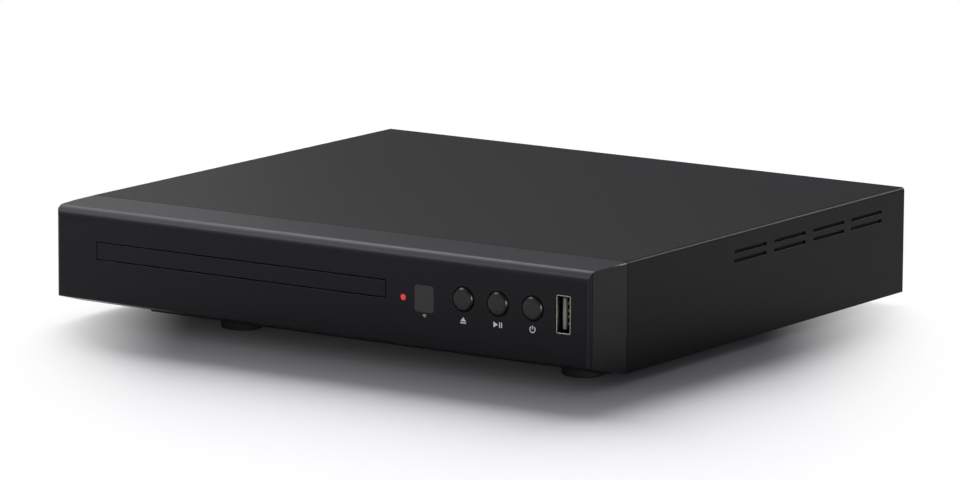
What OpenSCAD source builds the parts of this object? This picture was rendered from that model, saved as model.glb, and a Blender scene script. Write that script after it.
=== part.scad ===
// Compact disc player with a motor-driven tray.
// Millimetres, +Z up, the front panel faces -Y. The origin is the middle of the
// bounding box, on the surface that the feet stand on.

/* [Housing] */
// Width of the steel housing
case_w = 225; // [222:1:240]
// Depth of the steel housing behind the front bezel
case_d = 183; // [183:1:200]
// Height of the housing without its feet
case_h = 38; // [38:0.5:42]
// Sheet thickness of the cover, chassis and rear panel
sheet = 0.8; // [0.6:0.1:0.9]
// Outside radius of the cover's two long bends
bend_r = 1.1; // [1:0.1:1.5]

/* [Side vents] */
// Number of slots in one row
vent_count = 4; // [2:1:5]
// Distance from slot to slot
vent_pitch = 26.1; // [24:0.1:28]
// Length of one slot
vent_len = 21.2; // [12:0.2:22]
// Height of one slot
vent_h = 1.2; // [0.8:0.1:1.5]
// Depth of the first slot's middle behind the bezel joint
vent_y = 78.3; // [70:0.5:82]
// Heights of the two rows
vent_rows = [31.4, 28.2];

/* [Front bezel] */
// Depth of the moulded bezel in front of the steel housing
bezel_d = 21.8; // [20:0.2:22]
// Wall thickness of the bezel
bezel_wall = 2.2; // [1.8:0.1:2.4]
// Radius along the top front edge
brow_r = 4.2; // [3:0.1:5]
// Height of the front face's lower edge
chin_h = 5.4; // [4:0.1:6]
// How far each side leans in towards the front
side_draft = 0.95; // [0.5:0.05:1.5]

/* [Tray and door] */
// Sideways place of the tray's middle line
tray_x = -32; // [-34:0.5:-30]
// Width of the tray door
door_w = 122.6; // [122:0.1:123]
// Height of the tray door
door_h = 5.7; // [5.5:0.1:5.8]
// Height of the door's middle above the housing's underside
door_z = 23.15; // [23.1:0.05:23.2]
// How far the tray comes out
tray_travel = 130; // [120:1:130]
// Radius of the seat for a 120 mm disc
disc_seat_r = 60.2; // [60.2:0.05:60.3]

/* [Front controls] */
// Sideways place of the first button
button_x = 61.3; // [60:0.1:62]
// Distance from button to button
button_pitch = 13.96; // [13:0.02:14]
// Height of the buttons' middles
button_z = 23; // [22:0.1:24]
// Radius of a button
button_r = 4.05; // [3.8:0.05:4.1]
// How far a button stands proud of the bezel
button_proud = 0.8; // [0.4:0.1:1]
// Travel of a button
button_travel = 0.5; // [0.3:0.1:0.5]
// Sideways place of the USB socket's middle
usb_x = 101.3; // [101:0.1:102]
// Height of the USB socket's middle
usb_z = 22.2; // [21.5:0.1:22.5]

/* [Feet] */
// Radius of a foot
foot_r = 7.5; // [6:0.5:8]
// Height of a foot
foot_h = 3; // [2:0.5:4]
// Sideways places of the two columns of feet
foot_x = [-52.4, 90.4];
// Places of the two rows of feet behind the bezel joint
foot_y = [7.9, 165];

/* [Rear sockets] */
// How far the socket barrels stand out of the housing
jack_reach = 8.2; // [6:0.2:9]
// Distance from socket to socket
jack_pitch = 14; // [13:0.5:15]
// Radius of a socket's barrel
jack_r = 4.15; // [4.1:0.05:4.2]

/* [Hidden] */
$fn = 48;
eps = 0.01;

// Whole object
pan_drop = 1;                                  // depth of the step drawn into the chassis floor
base_z = foot_h + pan_drop;
overall_d = button_proud + bezel_d + case_d + jack_reach;
joint_y = -overall_d / 2 + button_proud + bezel_d;
fit_gap = 0.3;                                 // gap between neighbouring pieces of the housing
floor_z = sheet;
step_z = sheet - pan_drop;
inner_hw = case_w / 2 - sheet - fit_gap;        // half width of what stands inside the cover
sink = 0.4;                                    // how far a foot sinks into the floor that carries it
panel_y = case_d - 2 * sheet - 0.1;            // inner face of the rear panel
screw_r = 1.5;
screw_head_r = 2.8;
screw_head_h = 1.8;
screw_play = 0.1;

// Tray
tray_hw = 60.5;                                // half width
tray_front = -bezel_d + 2.4;
tray_rear = 148;
tray_top = 26;
tray_low = 20.2;
disc_y = 46.5;                                 // middle of the disc with the tray closed
seat_12 = 23.4;                                // floor that a 120 mm disc lies on
seat_8 = 22.2;                                 // floor that an 80 mm disc lies on
floor_t = 1.2;
skirt_t = 1.9;
notch_r = 10;                                  // finger notch at the front of the seat
notch_y = -7.7;
slot_hw = 22;
door_t = 2.2;
door_gap = 0.4;

// Loading gears: all axes upright
rack_x = -57;                                  // pitch line of the tray's rack
rack_m = 0.8;
drive_teeth = 18;
drive_r = rack_m * drive_teeth / 2;
drive_x = rack_x + drive_r;
drive_y = 13;
wheel_m = 0.7;
wheel_teeth = 40;
idler_teeth = 16;
idler_x = drive_x + wheel_m * (wheel_teeth + idler_teeth) / 2;
pulley_r = 12;
motor_pulley_r = 3;
motor_at = [9.2, 6.6];
motor_r = 12;
deck_z = 11.8;
deck_top = 13.4;
post_r = 1.5;
run_gap = 0.05;                                // radial clearance of a running fit

// Lift and cam
pivot_y = 130;
pivot_z = 11;
pivot_r = 2;
lift_angle = 3.4;
cam_travel = 24;
cam_pin_x = 18;
cam_pin_y = 22.6;
cam_pin_z = 11.2;
cam_pin_r = 1.5;
cam_play = 0.2;                                // the pins tilt in their slots as the lift swings
cam_drop = (pivot_y - cam_pin_y) * sin(lift_angle);

// Traverse
plate_z = 14.2;
plate_top = 15.4;
rod_x = 20.5;
rod_z = 11.6;
rod_r = 1.5;
feed_post_r = 1;
lens_y = disc_y + 24;                          // lens at the disc's lead-in
sled_travel = 34;
feed_m = 0.5;
feed_rack_x = -29;
feed_teeth = 16;
feed_x = feed_rack_x - feed_m * feed_teeth / 2;
feed_y = 84;
feed_wheel_teeth = 44;
feed_pinion_teeth = 14;
feed_motor_dir = 249.8;                        // direction from the feed gear to its motor
feed_motor_at = [feed_x, feed_y] + feed_m * (feed_wheel_teeth + feed_pinion_teeth) / 2
    * [cos(feed_motor_dir), sin(feed_motor_dir)];
damper_at = [[-42, 38], [42, 38], [-42, 117], [42, 117]];

// Electronics
board_t = 1.6;
board_z = 7;
front_board_y = -8.2;
front_board_x = [34, 108.4];
front_board_z = [8.5, 33.6];
jack_x = 68;
jack_z = 17;
hdmi_x = 97;
inlet_x = -86;
inlet_z = 15.2;
inlet_pin_gap = 8.6;
board_top = board_z + board_t;
board_parts_z = board_top + 0.02;
hdmi_z = board_top + 2.95;

// Places a piece given from the middle of the bezel joint, up from the housing's underside.
module in_case() {
    translate([0, joint_y, base_z]) children();
}

// The same, with the tray's middle line as X = 0.
module in_loader() {
    translate([tray_x, joint_y, base_z]) children();
}

module rounded_rect(w, h, r) {
    square([w - 2 * r, h], center = true);
    square([w, h - 2 * r], center = true);
    for (x = [-1, 1], y = [-1, 1])
        translate([x * (w / 2 - r), y * (h / 2 - r)]) circle(r);
}

module slot2d(len, h) {
    square([len - h, h], center = true);
    for (x = [-1, 1]) translate([x * (len - h) / 2, 0]) circle(h / 2);
}

// Stands a drawing of (x, z) up as a wall that runs from y0 to y1.
module along_y(y0, y1) {
    translate([0, y1, 0]) rotate([90, 0, 0]) linear_extrude(y1 - y0) children();
}

// Stands a drawing of (y, z) up as a bar that runs from x0 to x1.
module along_x(x0, x1) {
    translate([x0, 0, 0]) rotate([90, 0, 90]) linear_extrude(x1 - x0) children();
}

// A pair of like forms, one on each side of X = 0.
module both_sides() {
    children();
    mirror([1, 0, 0]) children();
}

module block(x, y, z) {
    translate([x[0], y[0], z[0]]) cube([x[1] - x[0], y[1] - y[0], z[1] - z[0]]);
}

module post(at, r, z) {
    translate([at[0], at[1], z[0]]) cylinder(h = z[1] - z[0], r = r);
}

// A round bar along Y, as a pin or as the hole for one.
module drill_y(x, z, r, y0, y1) {
    translate([x, y1, z]) rotate([90, 0, 0]) cylinder(h = y1 - y0, r = r);
}

// Gear teeth
pressure = 20;
addendum = 0.9;
dedendum = 1.15;
backlash = 0.14;

function involute(a) = tan(a) * 180 / PI - a;
function half_tooth(r, rho, m) =
    (PI * m / 2 - backlash) / (2 * r) * 180 / PI
    + involute(pressure) - involute(acos(min(1, r * cos(pressure) / rho)));
function at_angle(rho, a) = [rho * cos(a), rho * sin(a)];
function tooth(teeth, m, centre, steps) =
    let (r = teeth * m / 2, tip = r + addendum * m, root = r - dedendum * m,
         start = max(r * cos(pressure), root),
         rhos = [for (i = [0 : steps]) start + (tip - start) * i / steps])
    concat(
        root < start ? [at_angle(root, centre - half_tooth(r, start, m))] : [],
        [for (i = [0 : steps]) at_angle(rhos[i], centre - half_tooth(r, rhos[i], m))],
        [for (i = [steps : -1 : 0]) at_angle(rhos[i], centre + half_tooth(r, rhos[i], m))],
        root < start ? [at_angle(root, centre + half_tooth(r, start, m))] : []);

// A spur gear with one tooth's middle at the angle that phase gives.
module gear2d(teeth, m, phase = 0, steps = 3) {
    polygon([for (k = [0 : teeth - 1])
        each tooth(teeth, m, phase + 360 * k / teeth, steps)]);
}

// A rack along +X from the middle of its first tooth, teeth towards +Y, pitch line on Y = 0.
module rack2d(teeth, m, back) {
    pitch = PI * m;
    tip_half = (pitch / 2 - backlash) / 2 - addendum * m * tan(pressure);
    root_half = (pitch / 2 - backlash) / 2 + dedendum * m * tan(pressure);
    polygon(concat(
        [for (k = [0 : teeth - 1]) each [
            [k * pitch - root_half, -dedendum * m], [k * pitch - tip_half, addendum * m],
            [k * pitch + tip_half, addendum * m], [k * pitch + root_half, -dedendum * m]]],
        [[(teeth - 1) * pitch + root_half, -back], [-root_half, -back]]));
}

// Section of the cover: a flat top, two sides and the long bends between them.
module cover_outline(w, h, r) {
    translate([-w / 2, 0]) square([w, h - r]);
    translate([-w / 2 + r, 0]) square([w - 2 * r, h]);
    for (x = [-1, 1]) translate([x * (w / 2 - r), h - r]) circle(r);
}

module side_vents() {
    for (k = [0 : vent_count - 1], z = vent_rows)
        translate([0, vent_y + k * vent_pitch, z])
            rotate([90, 0, 90]) linear_extrude(case_w + 2, center = true) slot2d(vent_len, vent_h);
}

// Cover: a channel of folded sheet with a flange turned down at the back.
flange_inset = 3;
flange_low = case_h - 9.6;
housing_screw_x = [-95, 0, 95];
housing_screw_z = case_h - 5.6;

module top_cover() color("#2b2b2d") in_case() difference() {
    union() {
        along_y(fit_gap, case_d) difference() {
            cover_outline(case_w, case_h, bend_r);
            translate([0, -1]) cover_outline(case_w - 2 * sheet, case_h - sheet + 1, bend_r - sheet);
        }
        block([-case_w / 2 + flange_inset, case_w / 2 - flange_inset], [case_d - sheet, case_d],
            [flange_low, case_h - sheet / 2]);
    }
    side_vents();
    for (x = housing_screw_x) drill_y(x, housing_screw_z, screw_r + screw_play, case_d - 2, case_d + 1);
}

// Chassis: a drawn pan with walls on all four sides, standoffs and a field of cooling holes.
step_x = [-87.5, 106.5];
step_margin = 6;                               // flat border behind the drawn step
step_wall = 0.9;                               // width of the step's slope, inside the sheet
front_wall = [108, 1.9];                       // half width and height
hook_tab = [4, 9];                             // half width and height
hook_x = [-107, 50, 92];
hook_z = 5;
hook_slot = [2.8, hook_z - 0.4, hook_z + 2.4];
tab_y = 1.2;
side_wall = [4, panel_y - 3, 9];               // from, to and height
back_wall = [106, 7.4];
panel_screw_x = [-58, 36];
panel_screw_z = 4.6;
panel_tap_r = screw_r - 0.2;
ear_z = 6;                                     // top of the loader's standoffs
loader_post_r = 3.2;
board_post_r = 2.6;
loader_ear_x = 67.4;
loader_ear_y = [6, 140];
power_board_x = [-98, 30];
power_board_y = [154, 179];
main_board_x = [46, 109.5];
main_board_y = [74, 179];
post_inset = 4;
socket_inset = 17;                             // the same beside the sockets
board_posts = [
    for (x = [0, 1]) [power_board_x[x] + (1 - 2 * x) * post_inset, power_board_y[0] + post_inset],
    [power_board_x[1] - post_inset, power_board_y[1] - post_inset],
    for (x = [0, 1], y = [main_board_y[0] + post_inset, main_board_y[1] - socket_inset])
        [main_board_x[x] + (1 - 2 * x) * post_inset, y]];
cooling = [62, 96, 12, 9, 2];                  // first hole, pitch across and along, radius
bead_x = [56, 94];                             // stiffening beads beside the cooling holes
bead_y = 121;
bead_len = 62;
bead_w = 4;

function floor_at(x) = x > step_x[0] + 2 && x < step_x[1] - 2 ? step_z : floor_z;

module drawn_step(drop, shrink) {
    intersection() {
        along_y(0, case_d) polygon([[step_x[0] + shrink, 0.3], [step_x[1] - shrink, 0.3],
            [step_x[1] - shrink - drop, -drop], [step_x[0] + shrink + drop, -drop]]);
        along_x(-case_w / 2, case_w / 2) polygon([[fit_gap + shrink, 0.3],
            [case_d - step_margin - shrink, 0.3], [case_d - step_margin - shrink - drop, -drop],
            [fit_gap + shrink, -drop]]);
    }
}

module bead(w, z) {
    for (x = bead_x) translate([x, bead_y, z[0]])
        linear_extrude(z[1] - z[0]) rotate(90) slot2d(bead_len + w - bead_w, w);
}

module bottom_chassis() color("#8d9092") in_case() difference() {
    union() {
        difference() {
            union() {
                block([-inner_hw, inner_hw], [fit_gap, panel_y - fit_gap], [0, floor_z]);
                drawn_step(pan_drop, 0);
            }
            translate([0, 0, sheet]) drawn_step(pan_drop, step_wall);
        }
        bead(bead_w, [step_z - eps, step_z + sheet]);
        // low wall along the front, with taller tabs that the bezel's hooks pass through
        block([-front_wall[0], front_wall[0]], [tab_y, tab_y + sheet], [floor_z - sink, front_wall[1]]);
        for (x = hook_x)
            block([x - hook_tab[0], x + hook_tab[0]], [tab_y, tab_y + sheet], [floor_z - sink, hook_tab[1]]);
        both_sides() block([inner_hw - sheet, inner_hw], [side_wall[0], side_wall[1]], [0, side_wall[2]]);
        // wall along the back, which carries the rear panel
        block([-back_wall[0], back_wall[0]], [panel_y - sheet - 0.02, panel_y - 0.02],
            [floor_z - sink, back_wall[1]]);
        // standoffs for the loader and the two boards
        for (x = [-1, 1], y = loader_ear_y) post([tray_x + x * loader_ear_x, y], loader_post_r,
            [floor_at(tray_x + x * loader_ear_x) - sink, ear_z]);
        for (p = board_posts) post(p, board_post_r, [floor_at(p[0]) - sink, board_z]);
    }
    bead(bead_w - 2 * sheet, [-pan_drop - 1, step_z]);
    for (x = [-1, 1], y = loader_ear_y) post([tray_x + x * loader_ear_x, y], 1.3, [-3, ear_z + 1]);
    for (p = board_posts) post(p, 1.1, [-3, board_z + 1]);
    for (x = panel_screw_x) drill_y(x, panel_screw_z, panel_tap_r, case_d - 6, case_d);
    for (x = hook_x)
        block([x - hook_slot[0], x + hook_slot[0]], [tab_y - 1, tab_y + 2], [hook_slot[1], hook_slot[2]]);
    for (i = [0 : 6], j = [0 : 2])
        post([cooling[0] + j * cooling[2], cooling[1] + i * cooling[3]], cooling[4], [-2, 2]);
}

// Rear panel with the cut-outs of the sockets and a row of cooling slots.
rear_slot = [11, 2.2];
rear_slot_x = -46;
rear_slot_z = 19;
rear_slot_pitch = 6;
jack_hole_r = jack_r + 0.75;
hdmi_hole = [15.8, 6.6];
inlet_hole = [21.6, 12.6];

module rear_panel() color("#232325") in_case() difference() {
    block([-inner_hw, inner_hw], [panel_y, panel_y + sheet], [0.1, case_h - sheet - fit_gap]);
    for (x = housing_screw_x) drill_y(x, housing_screw_z, screw_r + screw_play, panel_y - 1, case_d);
    for (x = panel_screw_x) drill_y(x, panel_screw_z, screw_r + screw_play, panel_y - 1, case_d);
    for (k = [-1 : 1]) drill_y(jack_x + k * jack_pitch, jack_z, jack_hole_r, panel_y - 1, case_d);
    along_y(panel_y - 1, case_d) {
        translate([hdmi_x, hdmi_z]) square(hdmi_hole, center = true);
        translate([inlet_x, inlet_z]) square(inlet_hole, center = true);
        for (k = [0 : 8]) translate([rear_slot_x + k * rear_slot_pitch, rear_slot_z])
            rotate(90) slot2d(rear_slot[0], rear_slot[1]);
    }
}

foot_edge_r = 0.8;

module feet() color("#1a1a1a") in_case() for (x = foot_x, y = foot_y)
    translate([x, y, -base_z]) rotate_extrude() {
        square([foot_r - foot_edge_r, foot_h]);
        translate([0, foot_edge_r]) square([foot_r, foot_h - foot_edge_r]);
        translate([foot_r - foot_edge_r, foot_edge_r]) circle(foot_edge_r);
    }

// Cross recess in a pan head.
module cross_recess() {
    for (a = [0, 90]) rotate(a) translate([-1.6, -0.3, -screw_head_h - 0.6]) cube([3.2, 0.6, 1.5]);
}

// A pan head screw that points along -Y, its head seated on Y = 0, with or without a thicker neck.
module back_screw(length, r, neck = 0) rotate([90, 0, 0]) difference() {
    union() {
        cylinder(h = length, r = r);
        if (neck > 0) cylinder(h = neck, r = screw_r);
        translate([0, 0, -screw_head_h]) cylinder(h = screw_head_h, r = screw_head_r);
    }
    cross_recess();
}

module housing_screws() color("#3a3a3c") in_case() {
    for (x = housing_screw_x) translate([x, case_d, housing_screw_z]) back_screw(5, screw_r);
    for (x = panel_screw_x)
        translate([x, panel_y + sheet, panel_screw_z]) back_screw(4.5, screw_r - 0.25, sheet);
}

// Side view of the bezel: a sloping top, a round brow, a flat face and a raked chin.
brow_drop = 0.5;                               // fall of the top surface towards the brow
chin_at = [-7, 1.3];
corner_r = 1.8;
corner_groove = 0.4;

module bezel_profile() {
    polygon([[0, 0], [0, case_h], [-bezel_d + brow_r, case_h - brow_drop],
        [-bezel_d, case_h - brow_drop - brow_r], [-bezel_d, chin_h], chin_at]);
    translate([-bezel_d + brow_r, case_h - brow_drop - brow_r]) circle(brow_r, $fn = 96);
}

// Plan of the bezel with its drafted sides and rounded front corners.
module bezel_plan(inset) {
    back_hw = case_w / 2 - inset;
    front_hw = case_w / 2 - side_draft - inset;
    front = -bezel_d + inset;
    polygon([[-back_hw, 5], [back_hw, 5], [back_hw, 0], [front_hw, front + corner_r],
        [front_hw - corner_r, front], [-front_hw + corner_r, front], [-front_hw, front + corner_r],
        [-back_hw, 0]]);
    for (x = [-1, 1]) translate([x * (front_hw - corner_r), front + corner_r]) circle(corner_r);
}

module bezel_outside() intersection() {
    along_x(-case_w / 2 - 1, case_w / 2 + 1) bezel_profile();
    translate([0, 0, -1]) linear_extrude(case_h + 2) bezel_plan(0);
    along_y(-bezel_d - 1, 1) cover_outline(case_w, case_h, bend_r + 0.2);
}

module bezel_inside() intersection() {
    front = -bezel_d + bezel_wall;
    along_x(-case_w / 2, case_w / 2) polygon([[1, 2.2], [1, case_h - bezel_wall],
        [front + 2, case_h - bezel_wall - brow_drop], [front, case_h - bezel_wall - 2.5],
        [front, chin_h + 2.2], [chin_at[0], chin_at[1] + 2.2], [0, 2.2]]);
    linear_extrude(case_h) bezel_plan(bezel_wall);
}

door_hole = [door_w + 2 * door_gap, door_h + 2 * door_gap];
door_frame_t = 1.5;
window_at = [45.3, 21.4];
window_size = [7.8, 9.2];
window_ledge = 0.8;
window_t = 1.35;
led_at = [36.7, 21.1];
led_r = 1.05;
board_boss = [for (x = [37.6, 94.6], z = [12, 31]) [x, z]];
boss_r = 2.3;
boss_hole_r = 0.9;
mouth_gap = 0.35;                              // gap round a button at the front
flange_gap = 0.95;                             // wider bore behind, for the button's flange
barrel_t = 1.7;
usb_w = 5.12;                                  // inside of the shell
usb_tall = 12.5;
usb_wall = 0.3;
usb_gap = 0.4;                                 // from the inside of the shell to the mouth
lip = [104, 3.4, 1.5];                         // half width, reach into the cover, thickness
side_lip_z = [12, 33];
top_rib_pitch = 25;
top_rib_t = 1.2;
bezel_front = -bezel_d;
motor_low = 2.2;

// A hook's side view; its tip stands behind the chassis tab.
module bezel_hook() {
    tip = tab_y + sheet;
    polygon([[-5, 2], [-5, hook_z + 1.2], [tip + 0.2, hook_z + 1.2], [tip + 0.2, hook_z + 1.9],
        [tip + 1.4, hook_z + 1], [tip + 1.4, hook_z], [-2.5, hook_z], [-2.5, 2]]);
}

module bezel_body() {
    difference() {
        bezel_outside();
        bezel_inside();
    }
    // lips that sit inside the cover's top and sides
    block([-lip[0], lip[0]], [-3, lip[1]], [case_h - sheet - fit_gap - lip[2], case_h - sheet - fit_gap]);
    both_sides() block([case_w / 2 - sheet - fit_gap - lip[2], case_w / 2 - sheet - fit_gap], [-3, lip[1]],
        side_lip_z);
    for (x = hook_x) translate([x, 0, 0]) along_x(-2.5, 2.5) bezel_hook();
    // bosses for the front board
    for (p = board_boss) translate([p[0], front_board_y, p[1]])
        rotate([90, 0, 0]) cylinder(h = bezel_d - bezel_wall + front_board_y + eps, r = boss_r);
    // short barrels that guide the buttons
    for (k = [0 : 2]) translate([button_x + k * button_pitch, bezel_front + 5.2, button_z])
        rotate([90, 0, 0]) cylinder(h = 4, r = button_r + barrel_t);
    // frame behind the tray opening
    along_y(bezel_front + 1, bezel_front + 3.4) translate([tray_x, door_z]) difference() {
        square(door_hole + 2 * [door_frame_t, door_frame_t], center = true);
        square(door_hole, center = true);
    }
    // ribs across the inside of the top
    for (x = [-100 : top_rib_pitch : 100])
        block([x - top_rib_t / 2, x + top_rib_t / 2], [bezel_front + 3, -1], [case_h - 4, case_h - 1.2]);
}

module front_bezel() color("#232324") in_case() difference() {
    bezel_body();
    // tray opening
    along_y(bezel_front - 1, bezel_front + 4) translate([tray_x, door_z]) square(door_hole, center = true);
    // buttons: a narrow mouth, and a wider bore behind it for the flange
    for (k = [0 : 2]) {
        x = button_x + k * button_pitch;
        drill_y(x, button_z, button_r + mouth_gap, bezel_front - 2, bezel_front + 8);
        drill_y(x, button_z, button_r + flange_gap, bezel_front + 2.2, bezel_front + 8);
    }
    // infrared window: a recess with a ledge
    along_y(bezel_front - 1, bezel_front + window_t + 0.05) translate(window_at)
        rounded_rect(window_size[0] + 0.1, window_size[1] + 0.1, 1.1);
    along_y(bezel_front - 1, 0) translate(window_at)
        rounded_rect(window_size[0] - 2 * window_ledge, window_size[1] - 2 * window_ledge, 0.6);
    drill_y(led_at[0], led_at[1], led_r + 0.03, -30, 0);
    // USB mouth
    along_y(bezel_front - 1, 0) translate([usb_x, usb_z])
        rounded_rect(usb_w + 2 * usb_gap, usb_tall + 2 * usb_gap, 0.6);
    // fine groove behind each front corner
    both_sides() translate([case_w / 2 - side_draft - corner_groove, bezel_front + corner_r, -1])
        cube([1, corner_groove, case_h + 2]);
    // thinner floor under the loading motor
    block([tray_x + motor_at[0] - 10, tray_x + motor_at[0] + 10], [-6.2, 0.1], [motor_low - 0.3, 4]);
    // holes for the front board's screws
    for (p = board_boss) drill_y(p[0], p[1], boss_hole_r, bezel_front + bezel_wall + 1, 0);
}

module ir_window() color("#3c3234") in_case() along_y(bezel_front, bezel_front + window_t)
    translate(window_at) rounded_rect(window_size[0], window_size[1], 1.05);

// Indicator: a round lens on a wider collar, with two legs that reach the board.
led_seat = 7;                                  // from the bezel's face to the lens's back
led_legs = [-0.9, 0.4];
led_leg_t = 0.5;

module led_lens() color("#c01818") in_case() translate([led_at[0], bezel_front + led_seat, led_at[1]])
    rotate([90, 0, 0]) {
        cylinder(h = led_seat - 0.05, r = led_r);
        translate([0, 0, -2.4]) cylinder(h = 5, r = 1.5);
        for (x = led_legs) translate([x, -led_leg_t / 2, -bezel_d + led_seat - front_board_y + 0.02])
            cube([led_leg_t, led_leg_t, 4.5]);
    }

module front_board() color("#2f6b3a") in_case() difference() {
    size = [front_board_x[1] - front_board_x[0], front_board_z[1] - front_board_z[0]];
    along_y(front_board_y, front_board_y + board_t)
        translate([front_board_x[0], front_board_z[0]] + size / 2) rounded_rect(size[0], size[1], 1);
    for (p = board_boss) drill_y(p[0], p[1], 1.3, -20, 0);
}

// Small push switches and their round plungers.
switch_w = 6;
switch_h = 3.4;
plunger_r = 1.7;
plunger_h = button_travel + 0.4;
plunger_in = 1;                                // length inside the switch
stem_end = front_board_y - switch_h - plunger_h;

module tact_switches() color("#202020") in_case() for (k = [0 : 2])
    translate([button_x + k * button_pitch, 0, button_z]) difference() {
        along_y(front_board_y - switch_h, front_board_y) square([switch_w, switch_w], center = true);
        drill_y(0, 0, plunger_r + run_gap, front_board_y - 5.4, front_board_y - 1.4);
    }

module plunger(k) in_case() translate([button_x + k * button_pitch, front_board_y - switch_h + plunger_in,
    button_z]) rotate([90, 0, 0]) cylinder(h = plunger_in + plunger_h, r = plunger_r);

module eject_plunger() color("#d8d8d8") plunger(0);
module play_plunger() color("#d8d8d8") plunger(1);
module power_plunger() color("#d8d8d8") plunger(2);

// Round button: a crowned cap, a flange that holds it behind the bezel and a ribbed stem.
cap_edge_r = 0.35;
cap_back = 2.4;                                // from the bezel's face to the cap's back
stem_r = 1.6;
stem_rib = [5.2, 1];

module button(k) in_case() translate([button_x + k * button_pitch, 0, button_z]) rotate([90, 0, 0]) {
    cap_h = cap_back + button_proud;
    translate([0, 0, bezel_d - cap_back]) rotate_extrude() {
        square([button_r, cap_h - cap_edge_r]);
        square([button_r - cap_edge_r, cap_h]);
        translate([button_r - cap_edge_r, cap_h - cap_edge_r]) circle(cap_edge_r, $fn = 32);
    }
    translate([0, 0, bezel_d - cap_back - 1]) cylinder(h = 1.15, r = button_r + 0.6);
    stem_len = bezel_d - cap_back - 1 + stem_end;
    translate([0, 0, -stem_end]) {
        cylinder(h = stem_len + 0.2, r = stem_r);
        for (a = [0, 90]) rotate(a) translate([-stem_rib[0] / 2, -stem_rib[1] / 2, 1.2])
            cube([stem_rib[0], stem_rib[1], stem_len - 1]);
    }
}

module eject_button() color("#333335") button(0);
module play_button() color("#333335") button(1);
module power_button() color("#333335") button(2);

// Infrared receiver: a block with a round lens behind the window, on leads.
receiver_y = [-8.6, -5.2];

module ir_receiver() color("#1c1c1e") in_case() translate([window_at[0], front_board_y, window_at[1]]) {
    along_y(receiver_y[0], receiver_y[1]) square([5.6, 7], center = true);
    translate([0, receiver_y[0] + 0.4, 0]) rotate([90, 0, 0]) cylinder(h = 1.6, r = 2.4);
    for (x = [-1.8, 1.8]) along_y(receiver_y[1], 0) translate([x, -2.5]) square([0.6, 0.6], center = true);
}

// USB socket: a folded shell with two windows in each broad side, and its tongue.
usb_front = bezel_front + 0.25;
usb_end = front_board_y - 0.02;
usb_back_t = 3.3;
usb_window = [2.2, 5];                         // across and along
usb_window_z = 3.1;
usb_window_y = usb_front + 4.4;
tongue_front = usb_front + 2;
tongue_x = -0.94;
tongue_t = 1.84;
tongue_w = 10.7;
tongue_edge = 0.4;

module usb_shell() color("#c9ccd0") in_case() translate([usb_x, 0, usb_z]) difference() {
    along_y(usb_front, usb_end) difference() {
        rounded_rect(usb_w + 2 * usb_wall, usb_tall + 2 * usb_wall, 0.6);
        rounded_rect(usb_w, usb_tall, 0.3);
    }
    for (z = [-1, 1]) block([-usb_w, usb_w], [usb_window_y, usb_window_y + usb_window[1]],
        [z * usb_window_z - usb_window[0] / 2, z * usb_window_z + usb_window[0] / 2]);
}

module usb_tongue() color("#e8e8e4") in_case() translate([usb_x, 0, usb_z]) {
    along_y(usb_end - usb_back_t, usb_end) rounded_rect(usb_w - 0.04, usb_tall - 0.04, 0.3);
    root = usb_end - usb_back_t + eps;
    half = tongue_t / 2;
    translate([tongue_x, 0, -tongue_w / 2]) linear_extrude(tongue_w)
        polygon([[-half, root], [-half, tongue_front + tongue_edge], [-half + tongue_edge, tongue_front],
            [half - tongue_edge, tongue_front], [half, tongue_front + tongue_edge], [half, root]]);
}

// Tray door with snap feet that hook under the tray's front wall.
door_foot_x = [-44, -18, 18, 44];
door_foot = [6, 1];
door_foot_z = -1.1;
door_foot_reach = 3.2;

module tray_door() color("#262627") in_case() translate([tray_x, 0, door_z]) {
    along_y(bezel_front, bezel_front + door_t) rounded_rect(door_w, door_h, 0.3);
    for (x = door_foot_x) along_y(bezel_front + door_t - eps, tray_front + door_foot_reach)
        translate([x, door_foot_z]) square(door_foot, center = true);
}

// Disc tray: stepped seats in a deck on a skirt, with the rack along its left side.
seat_t = 0.9;                                  // wall of a seat below the deck
seat_bevel = 0.7;
deck_t = 1.3;
small_seat_r = 40.4;
rack_z = 1.8;                                  // height of the rack's teeth
rack_back = 2;
rack_teeth = ceil(tray_travel / (PI * rack_m)) + 3;
lift_out = [54, 17];                           // the rim is open at both sides, to lift the disc out
slot_wall = 1.4;
tray_rib_y = [-14, 108, 122, 136];
tray_rib_x = [[slot_hw + 1, tray_hw - 1], [-40, -slot_hw - 1]];  // the left ones clear the rack's pinion
tray_rib_t = 1.2;
tray_rib_low = tray_low + 1;

// Space under the tray's deck, with the two stepped seats left standing in it.
module tray_hollow() difference() {
    block([rack_x - 0.85, tray_hw - skirt_t], [tray_front + 1.6, tray_rear + 1],
        [tray_low - 1, tray_top - deck_t]);
    translate([0, disc_y, seat_12 - floor_t]) cylinder(h = 9, r = disc_seat_r + seat_t, $fn = 180);
    translate([0, disc_y, seat_8 - floor_t]) cylinder(h = 9, r = small_seat_r + seat_t, $fn = 120);
    translate([0, notch_y, seat_8 - floor_t]) cylinder(h = 9, r = notch_r + seat_t);
    for (x = tray_rib_x, y = tray_rib_y) block(x, [y, y + tray_rib_t], [tray_rib_low, tray_top]);
}

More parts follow.
